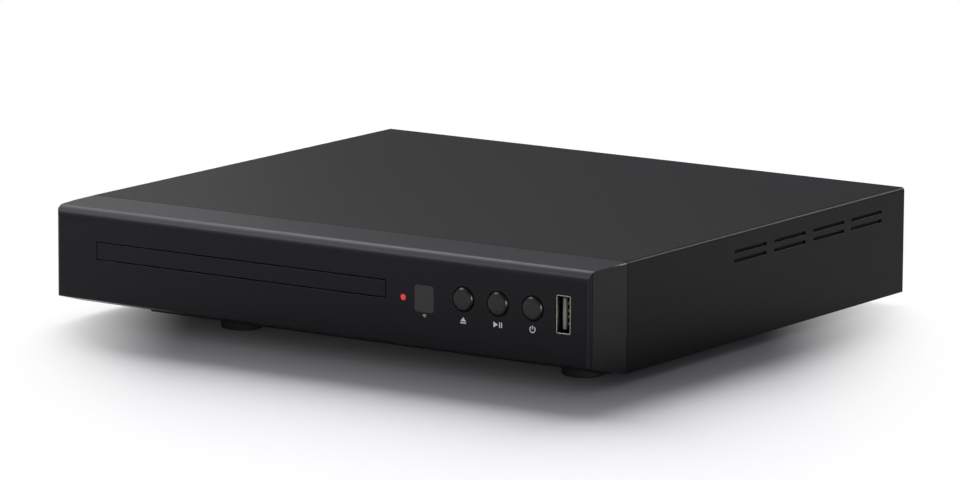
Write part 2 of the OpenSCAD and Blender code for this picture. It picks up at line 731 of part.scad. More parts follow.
module disc_tray() color("#1e1e20") in_loader() difference() {
    union() {
        difference() {
            block([-tray_hw, tray_hw], [tray_front, tray_rear], [tray_low, tray_top]);
            tray_hollow();
        }
        translate([rack_x, drive_y + (rack_teeth - 2.5) * PI * rack_m, tray_low])
            rotate([0, 0, -90]) linear_extrude(rack_z) rack2d(rack_teeth, rack_m, rack_back);
        both_sides() block([slot_hw, slot_hw + slot_wall], [disc_y, tray_rear], [tray_low + 0.4, tray_top]);
    }
    // seats for both disc sizes with bevelled rims, and the notch in front of them
    translate([0, disc_y, seat_12]) cylinder(h = 10, r = disc_seat_r, $fn = 180);
    translate([0, disc_y, tray_top - seat_bevel])
        cylinder(h = seat_bevel + eps, r1 = disc_seat_r, r2 = disc_seat_r + seat_bevel, $fn = 180);
    translate([0, disc_y, seat_8]) cylinder(h = 10, r = small_seat_r, $fn = 120);
    translate([0, disc_y, seat_12 - seat_bevel])
        cylinder(h = seat_bevel + eps, r1 = small_seat_r, r2 = small_seat_r + seat_bevel, $fn = 120);
    translate([0, notch_y, seat_8]) cylinder(h = 10, r = notch_r);
    both_sides() block([lift_out[0], 70], [disc_y - lift_out[1], disc_y + lift_out[1]], [seat_12, 40]);
    // slot for the turntable and pickup, open at the back
    translate([0, disc_y, 0]) cylinder(h = 60, r = slot_hw, $fn = 96);
    block([-slot_hw, slot_hw], [disc_y, tray_rear + 1], [0, 60]);
    // sockets for the door's snap feet
    for (x = door_foot_x) block([x - door_foot[0] / 2 - 0.15, x + door_foot[0] / 2 + 0.15],
        [tray_front - 1, tray_front + 2], [door_z - 1.75, door_z - 0.45]);
}

// Loader frame: two side walls with runner ledges, a front deck for the gears and a rear cross-member.
wall_in = 61.4;                                // inner edge, where the cross pieces reach
loader_wall = [61.3, 63.5];
wall_y = [-6, 150];
wall_z = [3.8, 27.6];
ledge_in = 58.8;
runner_z = 18.8;
foot_in = 55;
foot_top = 4.4;
tray_lip_y = [0, 68, 132];
tray_lip = [57.8, 12];                         // inner edge and length
bridge_screw_x = 66;
bridge_screw_y = [38, 55];
bridge_z = 28;
pad = [63.4, 68.4];
outer_rib_y = [22, 78, 96, 114];
pivot_block = [53.2, 4.5];                     // inner edge and half length
web_y = [19, 20];
shelf_y = 26.2;
shelf_stops = [-40, -5, 30];
rear_y = [136, 150];
gusset_x = [-45, -15, 15, 45];
hole_y = [40, 62, 84, 106];                    // lightening holes in the side walls

module loader_side() {
    block(loader_wall, wall_y, wall_z);
    block([ledge_in, wall_in], wall_y, [runner_z, tray_low - 0.1]);
    block([foot_in, wall_in], [20, wall_y[1]], [3, foot_top]);
    // lips over the tray
    for (y = tray_lip_y) block([tray_lip[0], wall_in], [y, y + tray_lip[1]], [tray_top + 0.3, wall_z[1]]);
    // pad that carries the clamp bridge, on three brackets
    block(pad, [33, 60], [20, bridge_z]);
    for (y = [36, 46, 56]) along_y(y, y + 1.4) polygon([[pad[0], 12], [pad[1], 20.1], [pad[0], 20.1]]);
    // seat for the lift's pivot
    block([pivot_block[0], wall_in], [pivot_y - pivot_block[1], pivot_y + pivot_block[1]],
        [foot_top - eps, pivot_z + 4.5]);
    // ears on the standoffs
    for (y = loader_ear_y) {
        block([pad[0], loader_ear_x], [y - 4, y + 4], [ear_z, ear_z + 2]);
        post([loader_ear_x, y], 4, [ear_z, ear_z + 2]);
    }
    for (y = outer_rib_y) block([pad[0], 65], [y, y + 1.6], [3, 24]);
}

module gear_post(x, foot_r, foot_top, top) {
    post([x, drive_y], foot_r, [deck_top - eps, foot_top]);
    post([x, drive_y], post_r, [deck_top, top]);
}

module loader_frame() color("#d9d8d2") in_loader() difference() {
    union() {
        both_sides() loader_side();
        // front deck with its apron, the web behind it and the slider's shelf
        block([-wall_in, wall_in], [wall_y[0], web_y[1]], [deck_z, deck_top]);
        block([-wall_in, wall_in], [wall_y[0], wall_y[0] + 1.6], [wall_z[0], 17]);
        block([-wall_in, wall_in], web_y, [1.2, deck_top]);
        block([-wall_in, wall_in], [web_y[0], shelf_y], [1.2, 2.2]);
        for (x = shelf_stops) block([x, x + 10], [shelf_y - 1.2, shelf_y], [1.2, 4.8]);
        both_sides() block([foot_in, wall_in], [web_y[0], shelf_y], [1.2, foot_top]);
        // rear cross-member with its gussets
        block([-wall_in, wall_in], rear_y, [3, 4.6]);
        block([-wall_in, wall_in], [rear_y[1] - 1.6, rear_y[1]], [3, 18]);
        block([-wall_in, wall_in], [rear_y[0], rear_y[0] + 1.4], [3, 7.5]);
        for (x = gusset_x) along_x(x - 0.7, x + 0.7) polygon([[rear_y[0] + 1.3, 4.5],
            [rear_y[1] - 1.5, 4.5], [rear_y[1] - 1.5, 15], [rear_y[0] + 1.3, 7]]);
        gear_post(drive_x, 3, 16.2, 21.9);
        gear_post(idler_x, 2.6, 13.7, 19);
    }
    // motor: hole for its boss, and room for its can in the apron
    post(motor_at, 3.6, [deck_z - 1, deck_top + 1]);
    block([motor_at[0] - 7, motor_at[0] + 7], [wall_y[0] - 1, wall_y[0] + 2], [2, deck_z]);
    // window in the wall for the drive gear's wheel
    block([-70, -60], [drive_y - 14, drive_y + 14], [15.9, 18.4]);
    both_sides() translate([57.3, pivot_y, pivot_z]) rotate([0, 90, 0])
        cylinder(h = 8.4, r = pivot_r + 0.06, center = true);
    // screw holes in ears and bridge pads
    both_sides() {
        for (y = loader_ear_y) post([loader_ear_x, y], 1.7, [0, 12]);
        for (y = bridge_screw_y) post([bridge_screw_x, y], 1.1, [22, 30]);
    }
    for (y = hole_y) along_x(-70, 70) translate([y, 11]) rounded_rect(14, 9, 1.5);
}

// Bridge across the loader, with a round hole for the clamp puck and two upturned ribs a side.
bridge_t = 1.5;
bridge_size = [136.8, 26];
bridge_r = 22;                                 // wider round the puck
puck_hole_r = 16.2;
bridge_rib = [19.6, 58, 12.3, 1.4, 4.6];       // from, to, place, thickness, height

module clamp_bridge() color("#b9bcc0") in_loader() difference() {
    union() {
        translate([0, disc_y, bridge_z]) linear_extrude(bridge_t) {
            rounded_rect(bridge_size[0], bridge_size[1], 2);
            circle(bridge_r);
        }
        both_sides() for (y = [-1, 1]) block([bridge_rib[0], bridge_rib[1]],
            [disc_y + y * bridge_rib[2] - bridge_rib[3] / 2, disc_y + y * bridge_rib[2] + bridge_rib[3] / 2],
            [bridge_z + 1, bridge_z + bridge_rib[4]]);
    }
    post([0, disc_y], puck_hole_r, [bridge_z - 1, bridge_z + 9]);
    both_sides() {
        for (y = bridge_screw_y) post([bridge_screw_x, y], 1.4, [bridge_z - 1, bridge_z + 3]);
        translate([40, disc_y, bridge_z - 1]) linear_extrude(4) slot2d(24, 9);
    }
}

// Clamp puck: it hangs by its rim in the bridge, and its magnet ring lies in a cup.
puck_low = tray_top + 0.3;
puck_rim_z = bridge_z + 1.7;
puck_top = bridge_z + 3.2;
puck_r = 15.4;
puck_rim_r = 18.2;
magnet_r = [3.5, 11.4];
magnet_t = 1.4;

module clamp_puck() color("#26262a") in_loader() translate([0, disc_y, 0]) rotate_extrude($fn = 96)
    difference() {
        union() {
            translate([0, puck_low]) square([puck_r, puck_rim_z - puck_low]);
            translate([0, puck_rim_z]) square([puck_rim_r, puck_top - puck_rim_z]);
        }
        // room for the turntable's cone, a groove over its pad and the magnet's cup
        translate([-1, puck_low - 1]) square([9.3, 3.4]);
        translate([8.25, puck_low - 1]) square([4.4, 1.5]);
        translate([-1, puck_rim_z - 0.1]) square([magnet_r[1] + 1.15, 5]);
    }

module puck_magnet() color("#8a8d91") in_loader() translate([0, disc_y, 0]) rotate_extrude($fn = 96)
    translate([magnet_r[0], puck_rim_z - 0.05]) square([magnet_r[1] - magnet_r[0], magnet_t]);

module gear_body(at, z, teeth, m, phase) {
    translate([at[0], at[1], z[0]]) linear_extrude(z[1] - z[0]) gear2d(teeth, m, phase);
}

// A pulley's side view: a disc with a square groove round its edge, as deep below r as the belt's half.
pulley_z = 13.8;
pulley_t = 1.9;
groove_deep = 0.6;

module pulley_profile(r, rim) difference() {
    square([r + rim, pulley_t]);
    translate([r - groove_deep, 0.4]) square([3, 1.1]);
}

// Wheel below, pinion above: the wheel is turned by the idler and the pinion moves the rack.
wheel_z = [16.4, 17.9];
pinion_top = 21.7;

module drive_gear() color("#e8e6de") in_loader() difference() {
    union() {
        gear_body([drive_x, drive_y], wheel_z, wheel_teeth, wheel_m, 0);
        gear_body([drive_x, drive_y], [wheel_z[1] - 0.1, pinion_top], drive_teeth, rack_m, 0);
    }
    post([drive_x, drive_y], post_r + run_gap, [10, 30]);
    // thinner web
    translate([drive_x, drive_y, wheel_z[1] - 0.6]) difference() {
        cylinder(h = 0.7 + eps, r = 11.8);
        cylinder(h = 3, r = drive_r + 1.4, center = true);
    }
}

module pulley_gear() color("#dcdad2") in_loader() difference() {
    union() {
        gear_body([idler_x, drive_y], [pulley_z + pulley_t - 0.1, 18.2], idler_teeth, wheel_m,
            180 / idler_teeth);
        translate([idler_x, drive_y, pulley_z]) rotate_extrude($fn = 96) pulley_profile(pulley_r, 0.6);
    }
    post([idler_x, drive_y], post_r + run_gap, [10, 30]);
}

// Outline of the belt round both pulleys, as far out from its inner face as grow says.
belt_z = [14.25, 15.25];
belt_t = 1;

module belt_outline(grow) {
    away = motor_at - [idler_x, drive_y];
    dir = atan2(away[1], away[0]);
    ra = pulley_r - 0.55 + grow;
    rb = motor_pulley_r - 0.55 + grow;
    lean = acos((ra - rb) / norm(away));
    polygon(concat(
        [for (k = [0 : 40]) [idler_x, drive_y] + at_angle(ra, dir + lean + (360 - 2 * lean) * k / 40)],
        [for (k = [0 : 12]) motor_at + at_angle(rb, dir - lean + 2 * lean * k / 12)]));
}

module drive_belt() color("#141414") in_loader() translate([0, 0, belt_z[0]])
    linear_extrude(belt_z[1] - belt_z[0]) difference() {
        belt_outline(belt_t);
        belt_outline(0);
    }

// Loading motor: a can with a bearing boss at each end, and a grooved pulley on its shaft.
motor_shaft_r = 1;
motor_boss_r = 3.2;
motor_end_boss = [3, 1];

module motor_pulley() color("#c8a24a") in_loader() translate([motor_at[0], motor_at[1], 0]) {
    translate([0, 0, pulley_z]) rotate_extrude() pulley_profile(motor_pulley_r, 0.7);
    translate([0, 0, 5]) cylinder(h = 11.4, r = motor_shaft_r);
}

module loading_motor() color("#a7aaae") in_loader() translate([motor_at[0], motor_at[1], 0])
    difference() {
        union() {
            translate([0, 0, motor_low]) cylinder(h = deck_z - motor_low - 0.02, r = motor_r, $fn = 72);
            translate([0, 0, deck_z - 0.1]) cylinder(h = 1.6, r = motor_boss_r);
            translate([0, 0, motor_low - motor_end_boss[1]])
                cylinder(h = motor_end_boss[1] + eps, r = motor_end_boss[0]);
        }
        translate([0, 0, 4]) cylinder(h = 20, r = motor_shaft_r + run_gap);
    }

// One sloping slot of the slider, from the raised pin's place to the lowered pin's.
module cam_path(x) {
    drop = [cam_travel, -cam_drop];
    half = cam_pin_r + cam_play;
    translate([x, cam_pin_z]) rotate(atan2(drop[1], drop[0])) {
        translate([0, -half]) square([norm(drop), 2 * half]);
        circle(half);
        translate([norm(drop), 0]) circle(half);
    }
}

// The slider raises and lowers the front of the lift as it runs sideways.
slider_y = [20.5, 24.6];
slider_at = [12, 7.95];
slider_size = [74, 11.1];
slider_hollow = [[0.5, 10.6, 9, 3.4], [34, 10.4, 18, 3.8], [-14.5, 4.8, 13, 2.8]];  // x, z, width, height

module cam_slider() color("#f0eee6") in_loader() difference() {
    along_y(slider_y[0], slider_y[1]) translate(slider_at) rounded_rect(slider_size[0], slider_size[1], 1);
    along_y(slider_y[0] - 1.5, slider_y[1] + 1.4) {
        cam_path(-cam_pin_x);
        cam_path(cam_pin_x);
    }
    along_y(slider_y[0] - 1.5, slider_y[1] - 2)
        for (h = slider_hollow) translate([h[0], h[1]]) rounded_rect(h[2], h[3], 1);
}

// Lift frame: a ring on two pivots at the back, with two cam pins in front and four damper lugs.
lift_z = 9;
lift_t = 5;
lift_y = [27, 133.5];
lift_hw = 52;
lift_hole = [47, 31, 126];                     // half width, from and to
lug_t = 1.6;
lug_r = 5;
pocket_pitch = 14;
damper_tap_r = 1.05;

module lift_frame() color("#2a2a2c") in_loader() difference() {
    union() {
        translate([0, (lift_y[0] + lift_y[1]) / 2, lift_z]) linear_extrude(lift_t)
            rounded_rect(2 * lift_hw, lift_y[1] - lift_y[0], 3);
        both_sides() {
            translate([cam_pin_x, 27.5, cam_pin_z]) rotate([90, 0, 0]) cylinder(h = 6.6, r = cam_pin_r);
            translate([51.5, pivot_y, pivot_z]) rotate([0, 90, 0]) cylinder(h = 6, r = pivot_r);
        }
    }
    difference() {
        block([-lift_hole[0], lift_hole[0]], [lift_hole[1], lift_hole[2]], [5, 20]);
        for (p = damper_at) translate([0, 0, lift_z]) linear_extrude(lug_t) {
            translate([p[0] + sign(p[0]) * 2.5, p[1]]) square([9, 2 * lug_r], center = true);
            translate(p) circle(lug_r);
        }
    }
    for (p = damper_at) post(p, damper_tap_r, [lift_z - 1, 12]);
    // pockets in the rear bar, with ribs left between them
    for (x = [-35 : pocket_pitch : 35]) block([x - 5.5, x + 5.5], [127.6, 132], [10.5, 15]);
}

// Traverse plate: pressed sheet that carries the rods, the feed drive and the spindle motor.
plate_y = [33.2, 124.8];
plate_hw = 40;
plate_hole = [24.6, 59.6, 120.6];              // half width, from and to
rod_block_y = [[53.5, 57.5], [121.2, 124.6]];
damper_hole_r = 3.06;

module traverse_plate() color("#9a9da1") in_loader() difference() {
    middle = (plate_y[0] + plate_y[1]) / 2;
    union() {
        translate([0, middle, plate_z]) linear_extrude(plate_top - plate_z) union() {
            rounded_rect(2 * plate_hw, plate_y[1] - plate_y[0], 3);
            for (p = damper_at) translate([p[0], p[1] - middle]) circle(4.6);
        }
        for (x = [-1, 1], y = rod_block_y)
            block([x * rod_x - 3, x * rod_x + 3], y, [rod_z - 3, plate_z + eps]);
        post([feed_x, feed_y], feed_post_r, [plate_top - eps, 19.2]);
    }
    block([-plate_hole[0], plate_hole[0]], [plate_hole[1], plate_hole[2]], [plate_z - 1, plate_top + 1]);
    for (p = damper_at) post(p, damper_hole_r, [plate_z - 1, plate_top + 1]);
    for (x = [-1, 1]) drill_y(x * rod_x, rod_z, rod_r + 0.02, 52.5, 125.5);
    post([0, disc_y], 4.3, [plate_z - 1, plate_top + 1]);
    post(feed_motor_at, 2.6, [plate_z - 1, plate_top + 1]);
    for (x = [-1, 1]) translate([x * 32, 104, plate_z - 1]) linear_extrude(4) rounded_rect(9, 14, 2);
}

// Rubber damper: a sleeve round the screw, with a groove that the plate's edge sits in.
damper_low = lift_z + lug_t + 0.02;
damper_top = plate_top + 1.4;
damper_r = [1.25, 4.35];
damper_groove_r = 3;

module dampers() color("#3d3d52") in_loader() for (p = damper_at) translate([p[0], p[1], 0])
    rotate_extrude() difference() {
        translate([damper_r[0], damper_low]) square([damper_r[1] - damper_r[0], damper_top - damper_low]);
        translate([damper_groove_r, plate_z - 0.02]) square([3, plate_top - plate_z + 0.04]);
    }

module damper_screws() color("#b0b2b5") in_loader() for (p = damper_at) {
    post(p, damper_tap_r - 0.02, [lift_z + 0.2, 12]);
    post(p, damper_r[0] - 0.05, [11.9, plate_top + 2.6]);
    post(p, 2.7, [damper_top + 0.02, plate_top + 2.6]);
}

module guide_rods() color("#c4c7cb") in_loader()
    for (x = [-1, 1]) drill_y(x * rod_x, rod_z, rod_r, 53.7, 124.4);

// Pickup sled: a die-cast body on the main rod, with a fork over the second rod and a side rack.
sled_z = [9, 19.4];
sled_back = 83.4;
sled_hw = 16.4;
lens_head = [20, 15, 1.8];
sleeve = [60.5, 82.5, 3.1];                    // from, to and radius
fork_y = [66, 78];
fork_z = [1.6, 2.8];                           // from the rod's middle
rack_arm_z = 15.8;
feed_rack_teeth = ceil(sled_travel / (PI * feed_m)) + 2;

module pickup_sled() color("#2c2d30") in_loader() difference() {
    union() {
        translate([0, 0, sled_z[0]]) linear_extrude(sled_z[1] - sled_z[0]) difference() {
            polygon([[-sled_hw, sled_back], [-sled_hw, 66], [-12, 59.9], [12, 59.9], [sled_hw, 66],
                [sled_hw, sled_back]]);
            translate([0, disc_y]) circle(13);
        }
        translate([0, lens_y, sled_z[1] - 0.1]) linear_extrude(lens_head[2])
            rounded_rect(lens_head[0], lens_head[1], 2.5);
        drill_y(-rod_x, rod_z, sleeve[2], sleeve[0], sleeve[1]);
        block([-rod_x, -15], [62, 81], [rod_z - 2, rod_z + 2]);
        for (s = [-1, 1]) block([16, rod_x + 2.4], fork_y,
            [rod_z + min(s * fork_z[0], s * fork_z[1]), rod_z + max(s * fork_z[0], s * fork_z[1])]);
        // arm and rack over the plate
        block([feed_rack_x + 0.5, -16], [63, 80], [rack_arm_z, rack_arm_z + 1.5]);
        translate([feed_rack_x, feed_y - (feed_rack_teeth - 1.5) * PI * feed_m, rack_arm_z])
            rotate([0, 0, 90]) linear_extrude(1.5) rack2d(feed_rack_teeth, feed_m, 2.4);
    }
    drill_y(-rod_x, rod_z, rod_r + 0.06, 50, 90);
    // lens well, and the laser's opening at the back
    translate([0, lens_y, 18]) cylinder(h = 6, r = 3.4);
    along_y(80, 90) translate([4, 13]) rounded_rect(8, 5, 1);
}

// Lens in its holder, with a domed top.
lens_low = 18.02;
lens_dome_r = 3.9;

module pickup_lens() color("#7f8fb4", 0.6) in_loader() translate([0, lens_y, 0]) rotate_extrude() {
    translate([0, lens_low]) square([2.2, 3.2]);
    translate([0, lens_low]) square([3.3, 1.6]);
    intersection() {
        translate([0, 18.4]) circle(lens_dome_r, $fn = 72);
        translate([0, 20]) square([2, 3]);
    }
}

module feed_gear() color("#e8e6de") in_loader() difference() {
    union() {
        gear_body([feed_x, feed_y], [15.6, 17.6], feed_teeth, feed_m, 0);
        gear_body([feed_x, feed_y], [17.5, 18.8], feed_wheel_teeth, feed_m, feed_motor_dir);
    }
    post([feed_x, feed_y], feed_post_r + run_gap, [10, 30]);
}

feed_shaft_r = 0.75;
feed_motor_r = 6;

module feed_motor() color("#a7aaae") in_loader() difference() {
    union() {
        post(feed_motor_at, feed_motor_r, [6.2, plate_z - 0.02]);
        post(feed_motor_at, 2.3, [plate_z - 0.1, plate_top]);
    }
    post(feed_motor_at, feed_shaft_r + run_gap, [8, 20]);
}

// Brass pinion pressed on the feed motor's shaft.
module feed_pinion() color("#c8a24a") in_loader() {
    gear_body(feed_motor_at, [17.4, 18.9], feed_pinion_teeth, feed_m,
        feed_motor_dir + 180 + 180 / feed_pinion_teeth);
    post(feed_motor_at, feed_shaft_r, [9, 19.2]);
}

// Spindle motor: base with its bearing, a cup-shaped rotor, and the turntable pressed on the shaft.
spindle_r = 1.25;
bearing_r = 4.1;
bearing_low = 11.8;
base_r = 12.4;
base_t = 0.8;
rotor_r = [9.6, 11.4];
seat_top = 24.3;
table_r = 15.2;
table_low = plate_top + 5.84;
cone = [5.6, 7.45, 0.9, 2.5];                  // top radius, foot radius, heights over the seat
pad_r = [10.6, 14.8];
pad_t = 0.38;
spring_r = 5.2;

module spindle_motor() color("#b4b7bb") in_loader() translate([0, disc_y, 0]) difference() {
    union() {
        translate([0, 0, plate_top + 0.02]) cylinder(h = base_t, r = base_r, $fn = 72);
        translate([0, 0, bearing_low]) cylinder(h = plate_top - bearing_low + 0.5, r = bearing_r);
    }
    translate([0, 0, bearing_low + 0.8]) cylinder(h = 10, r = spindle_r + run_gap);
}

module spindle_rotor() color("#c0c3c7") in_loader() translate([0, disc_y, 0]) rotate_extrude($fn = 96) {
    difference() {
        translate([0, plate_top + 1.2]) square([rotor_r[1], 4.6]);
        translate([spindle_r, plate_top]) square([rotor_r[0], 4.4]);
    }
    translate([0, 12.7]) square([spindle_r, 13]);
}

module turntable() color("#303236") in_loader() translate([0, disc_y, 0]) difference() {
    rotate_extrude($fn = 96) {
        translate([0, table_low]) square([table_r, seat_top - 0.4 - table_low]);
        polygon([[0, seat_top - 1], [cone[1], seat_top - 1], [cone[1], seat_top + cone[2]],
            [cone[0], seat_top + cone[3]], [0, seat_top + cone[3]]]);
    }
    cylinder(h = seat_top + 1.5, r = spindle_r + 0.02);
    // three pockets for the centring springs
    for (a = [0 : 120 : 240]) rotate(a) translate([spring_r, -1, seat_top + 0.2]) cube([3, 2, 3]);
}

module turntable_pad() color("#151515") in_loader() translate([0, disc_y, seat_top - pad_t])
    rotate_extrude($fn = 96) translate([pad_r[0], 0]) square([pad_r[1] - pad_r[0], pad_t]);

// A screw that points down: shank, then head.
module down_screw(at, r, from, seat, head_r, head_h) {
    post(at, r, [from, seat + 0.1]);
    post(at, head_r, [seat + 0.02, seat + head_h]);
}

module loader_screws() color("#b0b2b5") in_loader() for (x = [-1, 1]) {
    for (y = loader_ear_y) down_screw([x * loader_ear_x, y], 1.25, ear_z - 5, ear_z + 2, 2.7, 1.6);
    for (y = bridge_screw_y)
        down_screw([x * bridge_screw_x, y], 1.05, bridge_z - 5, bridge_z + bridge_t, 2.5, 1.5);
}

// Circuit boards on the chassis, with holes over their standoffs.
module board(x, y, posts) difference() {
    translate([(x[0] + x[1]) / 2, (y[0] + y[1]) / 2, board_z + 0.02])
        linear_extrude(board_t - 0.02) rounded_rect(x[1] - x[0], y[1] - y[0], 1);
    for (p = posts) post(p, 1.6, [board_z - 1, board_z + 3]);
}

module main_board() color("#2d6a3d") in_case() board(main_board_x, main_board_y, board_posts);
module power_board() color("#b98a4e") in_case() board(power_board_x, power_board_y, board_posts);

module board_screws() color("#b0b2b5") in_case() {
    for (p = board_posts) down_screw(p, 1.05, board_z - 5, board_top, 2.5, 1.5);
    for (p = board_boss) translate([p[0], front_board_y + board_t + 0.02, p[1]]) rotate([90, 0, 0]) {
        translate([0, 0, -1.4]) cylinder(h = 1.4, r = 2.2);
        cylinder(h = 6, r = boss_hole_r - 0.05);
    }
}

// Packages on the main board: corner, size and height of processor, memory, motor driver, flash,
// two regulators and the clock crystal's can.
chips = [[68, 104, 20, 20, 1.5], [68, 132, 11, 22, 1.2], [52, 84, 10, 15, 2], [94, 108, 5, 6, 1.6],
    [52, 148, 6.5, 3.5, 1.7], [52, 106, 6.5, 3.5, 1.7], [60, 118, 3.4, 10.6, 3.4]];

module main_chips() color("#1d1e20") in_case()
    for (c = chips) block([c[0], c[0] + c[2]], [c[1], c[1] + c[3]], [board_parts_z, board_top + c[4]]);

// Transformer: two core plates, the wound bobbin between them and the core's outer legs.
transformer_at = [-14, 166.5];
core = [20, 19, 3];                            // width, depth and thickness of the lower plate
winding = [7.6, 11.2];                         // radius and height
core_leg = [3.2, 12];

module transformer() color("#d9b84a") in_case()
    translate([transformer_at[0], transformer_at[1], board_parts_z]) {
        block([-core[0] / 2, core[0] / 2], [-core[1] / 2, core[1] / 2], [0, core[2]]);
        block([-core[0] / 2, core[0] / 2], [-core[1] / 2, core[1] / 2],
            [core[2] + winding[1] - 0.2, core[2] + winding[1] + 2.3]);
        post([0, 0], winding[0], [core[2] - 0.1, core[2] + winding[1] - 0.1]);
        for (x = [-9, 9]) block([x - core_leg[0] / 2, x + core_leg[0] / 2],
            [-core_leg[1] / 2, core_leg[1] / 2], [core[2] - 0.1, core[2] + winding[1] - 0.1]);
    }

// Round capacitors (place, radius, height) and the film capacitor beside the inlet.
power_caps = [[-40, 166, 6.5, 21], [6, 164, 4, 15], [17, 164, 4, 15], [6, 174, 3.2, 12]];
board_caps = [[52, 128], [52, 138], [98, 92], [98, 128]];
board_cap = [3.1, 9];
film_cap = [[-66, -52], [160, 172], 14];

module capacitors() color("#24324f") in_case() {
    for (c = power_caps) post([c[0], c[1]], c[2], [board_parts_z, board_top + c[3]]);
    for (c = board_caps) post(c, board_cap[0], [board_parts_z, board_top + board_cap[1]]);
    block(film_cap[0], film_cap[1], [board_parts_z, board_top + film_cap[2]]);
}

// Flat cables: power board to main board, and main board to front board.
cable_t = 0.8;
cable_foot_z = board_top + 0.04;
cable_a = [165, 172];
cable_b = [70, 86];

module ribbon_cables() color("#d6d6d0") in_case() {
    low = cable_foot_z;
    end = front_board_y + board_t;
    along_y(cable_a[0], cable_a[1]) polygon([[22, low + 0.76], [30, 16], [39, 16], [47.6, low + 0.76],
        [47.6, low], [46.8, low], [38.7, 16 - cable_t], [30.3, 16 - cable_t], [22, low], [21.2, low],
        [21.2, low + 0.76]]);
    along_x(cable_b[0], cable_b[1]) polygon([[80, low], [80, 11], [70, 13], [20, 13], [0, 20.8], [end, 20.8],
        [end, 20.8 - cable_t], [-0.2, 20.8 - cable_t], [19.8, 13 - cable_t], [69.9, 13 - cable_t],
        [79.2, 10.3], [79.2, low]]);
}

// Trapezoid mouth of the HDMI shell, drawn smaller by the sheet's thickness for its inside.
hdmi_half = [7.5, 2.8];
hdmi_shell_t = 0.4;
hdmi_tongue = [11.6, 1.6];
hdmi_y = 171;

module hdmi_outline(t = 0) {
    polygon([[-hdmi_half[0] + t, hdmi_half[1] - t], [hdmi_half[0] - t, hdmi_half[1] - t],
        [hdmi_half[0] - t, -0.6 + t / 2], [5.4 - t / 2, -hdmi_half[1] + t],
        [-5.4 + t / 2, -hdmi_half[1] + t], [-hdmi_half[0] + t, -0.6 + t / 2]]);
}

module hdmi_socket() color("#c5c8cc") in_case() translate([hdmi_x, 0, hdmi_z]) {
    along_y(hdmi_y, case_d - 0.3) difference() {
        hdmi_outline();
        hdmi_outline(hdmi_shell_t);
    }
    along_y(hdmi_y - 1, hdmi_y + 0.02) hdmi_outline();
    along_y(hdmi_y, case_d - 2.2) translate([0, 0.1]) square(hdmi_tongue, center = true);
}

// Coloured body of a round socket, with a ring round the barrel and the plug's own hole.
ring_proud = 0.6;                              // coloured ring, behind the barrel's plain length
ring_r = jack_r + 0.7;
barrel_root_r = jack_r - 0.2;
barrel_in = 0.6;                               // wall of the barrel
jack_box = [10.6, 13];
jack_box_y = 168;
jack_inner_r = 1.65;
jack_tip = case_d + jack_reach;

module jack_body(k) in_case() translate([jack_x + k * jack_pitch, 0, jack_z]) difference() {
    union() {
        along_y(jack_box_y, panel_y - 0.05) translate([0, -0.2]) square(jack_box, center = true);
        drill_y(0, 0, ring_r, panel_y - 0.6, case_d + ring_proud);
        drill_y(0, 0, jack_r - barrel_in - 0.02, jack_tip - 14.8, jack_tip - 0.8);
        block([-4, 4], [169, 178], [board_parts_z - jack_z, -6]);
    }
    drill_y(0, 0, jack_inner_r, jack_tip - 11, jack_tip);
    difference() {
        drill_y(0, 0, barrel_root_r + 0.02, jack_tip - 14, jack_tip);
        drill_y(0, 0, jack_r - barrel_in - 0.02, jack_tip - 15, jack_tip + 1);
    }
}

module video_jack() color("#d8b21c") jack_body(-1);
module left_jack() color("#e6e6e2") jack_body(0);
module right_jack() color("#b3201c") jack_body(1);

module jack_barrels() color("#c9ccd0") in_case() for (k = [-1 : 1])
    translate([jack_x + k * jack_pitch, 0, jack_z]) difference() {
        union() {
            drill_y(0, 0, jack_r, case_d + ring_proud, jack_tip);
            drill_y(0, 0, barrel_root_r, jack_tip - 13.9, jack_tip);
        }
        drill_y(0, 0, jack_r - barrel_in, jack_tip - 15, jack_tip + 1);
    }

// Figure-of-eight mains inlet with its shroud, and the two pins.
inlet_lobe_r = 3.9;
inlet_body = [20.8, 11.8];
inlet_shroud = [24.4, 14.6];
inlet_floor_y = 172;
inlet_pin_r = 1.18;
pin_y = [169, case_d - 1.6];

module inlet_mouth() {
    for (x = [-1, 1]) translate([x * inlet_pin_gap / 2, 0]) circle(inlet_lobe_r);
    square([inlet_pin_gap, 6.6], center = true);
}

module mains_inlet() color("#18181a") in_case() translate([inlet_x, 0, inlet_z]) difference() {
    union() {
        along_y(164, case_d - 0.2) square(inlet_body, center = true);
        along_y(panel_y + sheet + 0.02, case_d + 0.8) rounded_rect(inlet_shroud[0], inlet_shroud[1], 1.5);
        for (x = [-8, 6]) block([x, x + 2], [166, 172], [board_parts_z - inlet_z, -5.8]);
    }
    along_y(inlet_floor_y, case_d + 2) inlet_mouth();
    for (x = [-1, 1]) drill_y(x * inlet_pin_gap / 2, 0, inlet_pin_r + 0.02, 169, 174);
}

module inlet_pins() color("#c8c9cc") in_case()
    for (x = [-1, 1]) drill_y(inlet_x + x * inlet_pin_gap / 2, inlet_z, inlet_pin_r, pin_y[0], pin_y[1]);

